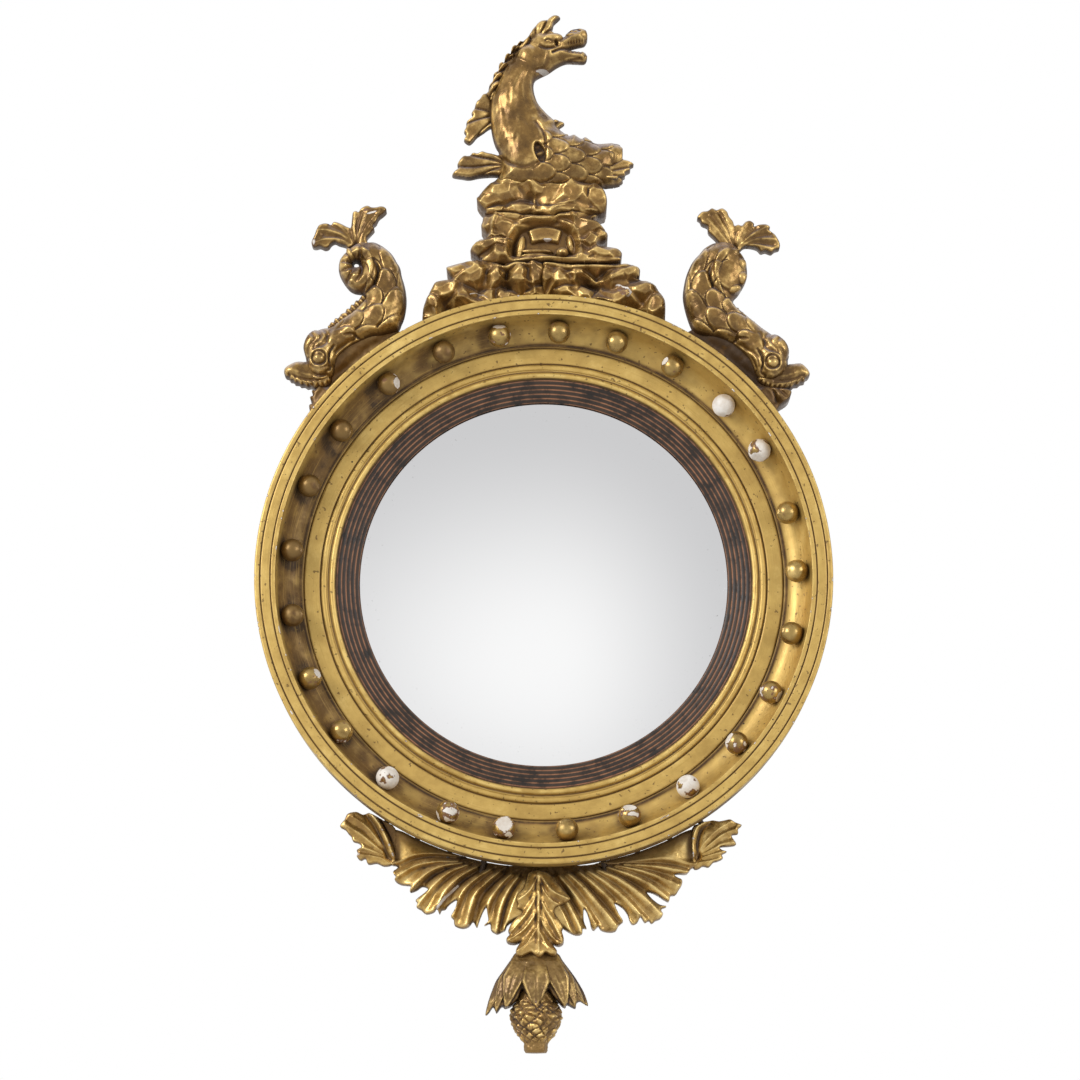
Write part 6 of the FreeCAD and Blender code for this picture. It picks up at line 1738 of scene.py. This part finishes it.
calyx_gold = gilding("calyx_gilding", (0.115, 0.062, 0.019), (0.235, 0.140, 0.042),
                     (0.60, 0.41, 0.145), polish=0.36, metal=0.5, shade=10.0)
carving("calyx", CALYX, calyx_front, calyx_back, "leaf_gilding", 0.65, finish=calyx_gold,
        corner=3, marks={"gesso": calyx_gesso})


def cone_shape():
    """A pine cone turned about its upright axis, cut with two sets of spiral grooves: each
    diamond rises to a point, and the stalk's stub is left plain below."""
    rows = np.array([(-421, 0.1), (-421, 7), (-428, 12.5), (-435, 17.4), (-443, 20.9),
                     (-449, 24.3), (-455, 26.6), (-461, 26.6), (-467, 25), (-473, 22.4),
                     (-479, 18.6), (-484, 14.4), (-487, 12.4), (-494, 12.2), (-496.4, 10.6),
                     (-496.9, 0.1)], float)
    share = np.linspace(0, len(rows) - 1, 150)
    z, radius = (np.interp(share, np.arange(len(rows)), values)[:, None] for values in rows.T)
    angle = (2 * np.pi * np.arange(220) / 220)[None, :]
    where = np.stack([radius * np.sin(angle), z + 0 * angle, radius * np.cos(angle)], -1)
    around = angle * 11 / (2 * np.pi) + 0.9 * (mottle(where, 13.0, 83, 2) - 0.5)
    down = -(z + 432) / 9.6 + 0.9 * (mottle(where, 13.0, 85, 2) - 0.5)
    one = np.abs(np.sin(np.pi * (around + down)))
    two = np.abs(np.sin(np.pi * (around - down)))
    diamond = np.minimum(one, two)
    zone = smooth(-439, -445, z) * smooth(-488, -482, z)
    grain = mottle(where, 4.5, 81)
    r = radius + zone * (3.0 * diamond ** 0.8 - 1.9) + (2.4 * (grain - 0.5)) * (radius > 5)
    points = at_depth(DROP_X + r * np.sin(angle), 40 + r * np.cos(angle), z)
    # painted shade with mottled dirt in the grooves between the diamonds, the plain top and stub
    # evenly darker; wear and painted highlight on the diamonds' points
    recess = zone * (0.75 * (1 - smooth(0.02, 0.45, diamond)) + 0.7 * smooth(0.55, 0.35, grain)) \
        + 0.45 * (1 - zone)
    rub = zone * smooth(0.5, 0.9, diamond) * smooth(0.45, 0.6, grain)
    return lathe(points, False, recess=recess, rub=rub)


piece("pine_cone_carved", cone_shape(), "leaf_gilding", ["pine_cone"])

# ---------------------------------------------------------------- floor, light and camera
WHITE = (1, 1, 1, 1)


def placed(name, data):
    """A new object in the scene."""
    thing = bpy.data.objects.new(name, data)
    bpy.context.collection.objects.link(thing)
    return thing


floor_mesh = bpy.data.meshes.new("floor")
floor_mesh.from_pydata([(-9, -9, -1.5), (9, -9, -1.5), (9, 9, -1.5), (-9, 9, -1.5)], [],
                       [(0, 1, 2, 3)])
floor = placed("floor", floor_mesh)
# pale to the eye, plain white where the gold or the glass mirrors it
pale = Finish("pale_floor")
pale.done(Base_Color=(0.8, 0.8, 0.8), Roughness=0.8)
rays = pale.node("ShaderNodeLightPath").outputs
pale.link(pale.pick(pale.math("MAXIMUM", rays["Is Glossy Ray"], rays["Is Transmission Ray"]),
                    pale.shader.outputs[0],
                    pale.node("ShaderNodeEmission", in_Color=WHITE).outputs[0]),
          pale.tree.nodes["Material Output"].inputs[0])
floor_mesh.materials.append(pale.material)

# white to the eye and in mirrors, softer as a light
world = bpy.data.worlds.new("studio")
bpy.context.scene.world = world
world.use_nodes = True
world.node_tree.nodes.clear()
studio = Tree(world.node_tree)
rays = studio.node("ShaderNodeLightPath").outputs
seen = studio.math("MAXIMUM", rays["Is Camera Ray"], rays["Is Glossy Ray"])
soft, white = (studio.node("ShaderNodeBackground", in_Color=WHITE, in_Strength=strength).outputs[0]
               for strength in (0.42, 1.0))
studio.link(studio.pick(studio.math("MAXIMUM", seen, rays["Is Transmission Ray"]), soft, white),
            studio.node("ShaderNodeOutputWorld").inputs["Surface"])


def aim(thing, target):
    """Turns an object so that it looks at a point, upright."""
    way = Vector(target) - Vector(thing.location)
    thing.rotation_euler = way.to_track_quat("-Z", "Y").to_euler()


def lamp(name, place, target, size, power):
    """A square soft lamp aimed at a point."""
    data = bpy.data.lights.new(name, "AREA")
    data.shape = "SQUARE"
    data.size = size
    data.energy = power
    thing = placed(name, data)
    thing.location = place
    aim(thing, target)


lamp("left_soft_box", (-2.6, -2.2, 1.3), (0, 0, 0.05), 1.5, 95)
lamp("right_soft_box", (2.7, -2.4, 0.6), (0, 0, 0), 1.5, 42)

# the photo's view: 4 m away, looking up at the middle of the ring
FOCAL_PIXELS, PHOTO_WIDTH, SENSOR = 3773.6, 1080, 36
DISTANCE, RISE = 4.0, math.radians(10.3)
MIDDLE = (0, -0.040, 0)
camera = bpy.data.cameras.new("camera")
camera.lens = FOCAL_PIXELS / PHOTO_WIDTH * SENSOR
camera.sensor_width = SENSOR
camera.shift_x = -0.0034
camera.shift_y = 0.0387
eye = placed("camera", camera)
eye.location = (0, MIDDLE[1] - DISTANCE * math.cos(RISE), -DISTANCE * math.sin(RISE))
aim(eye, MIDDLE)
scene = bpy.context.scene
scene.camera = eye
scene.view_settings.view_transform = "Standard"
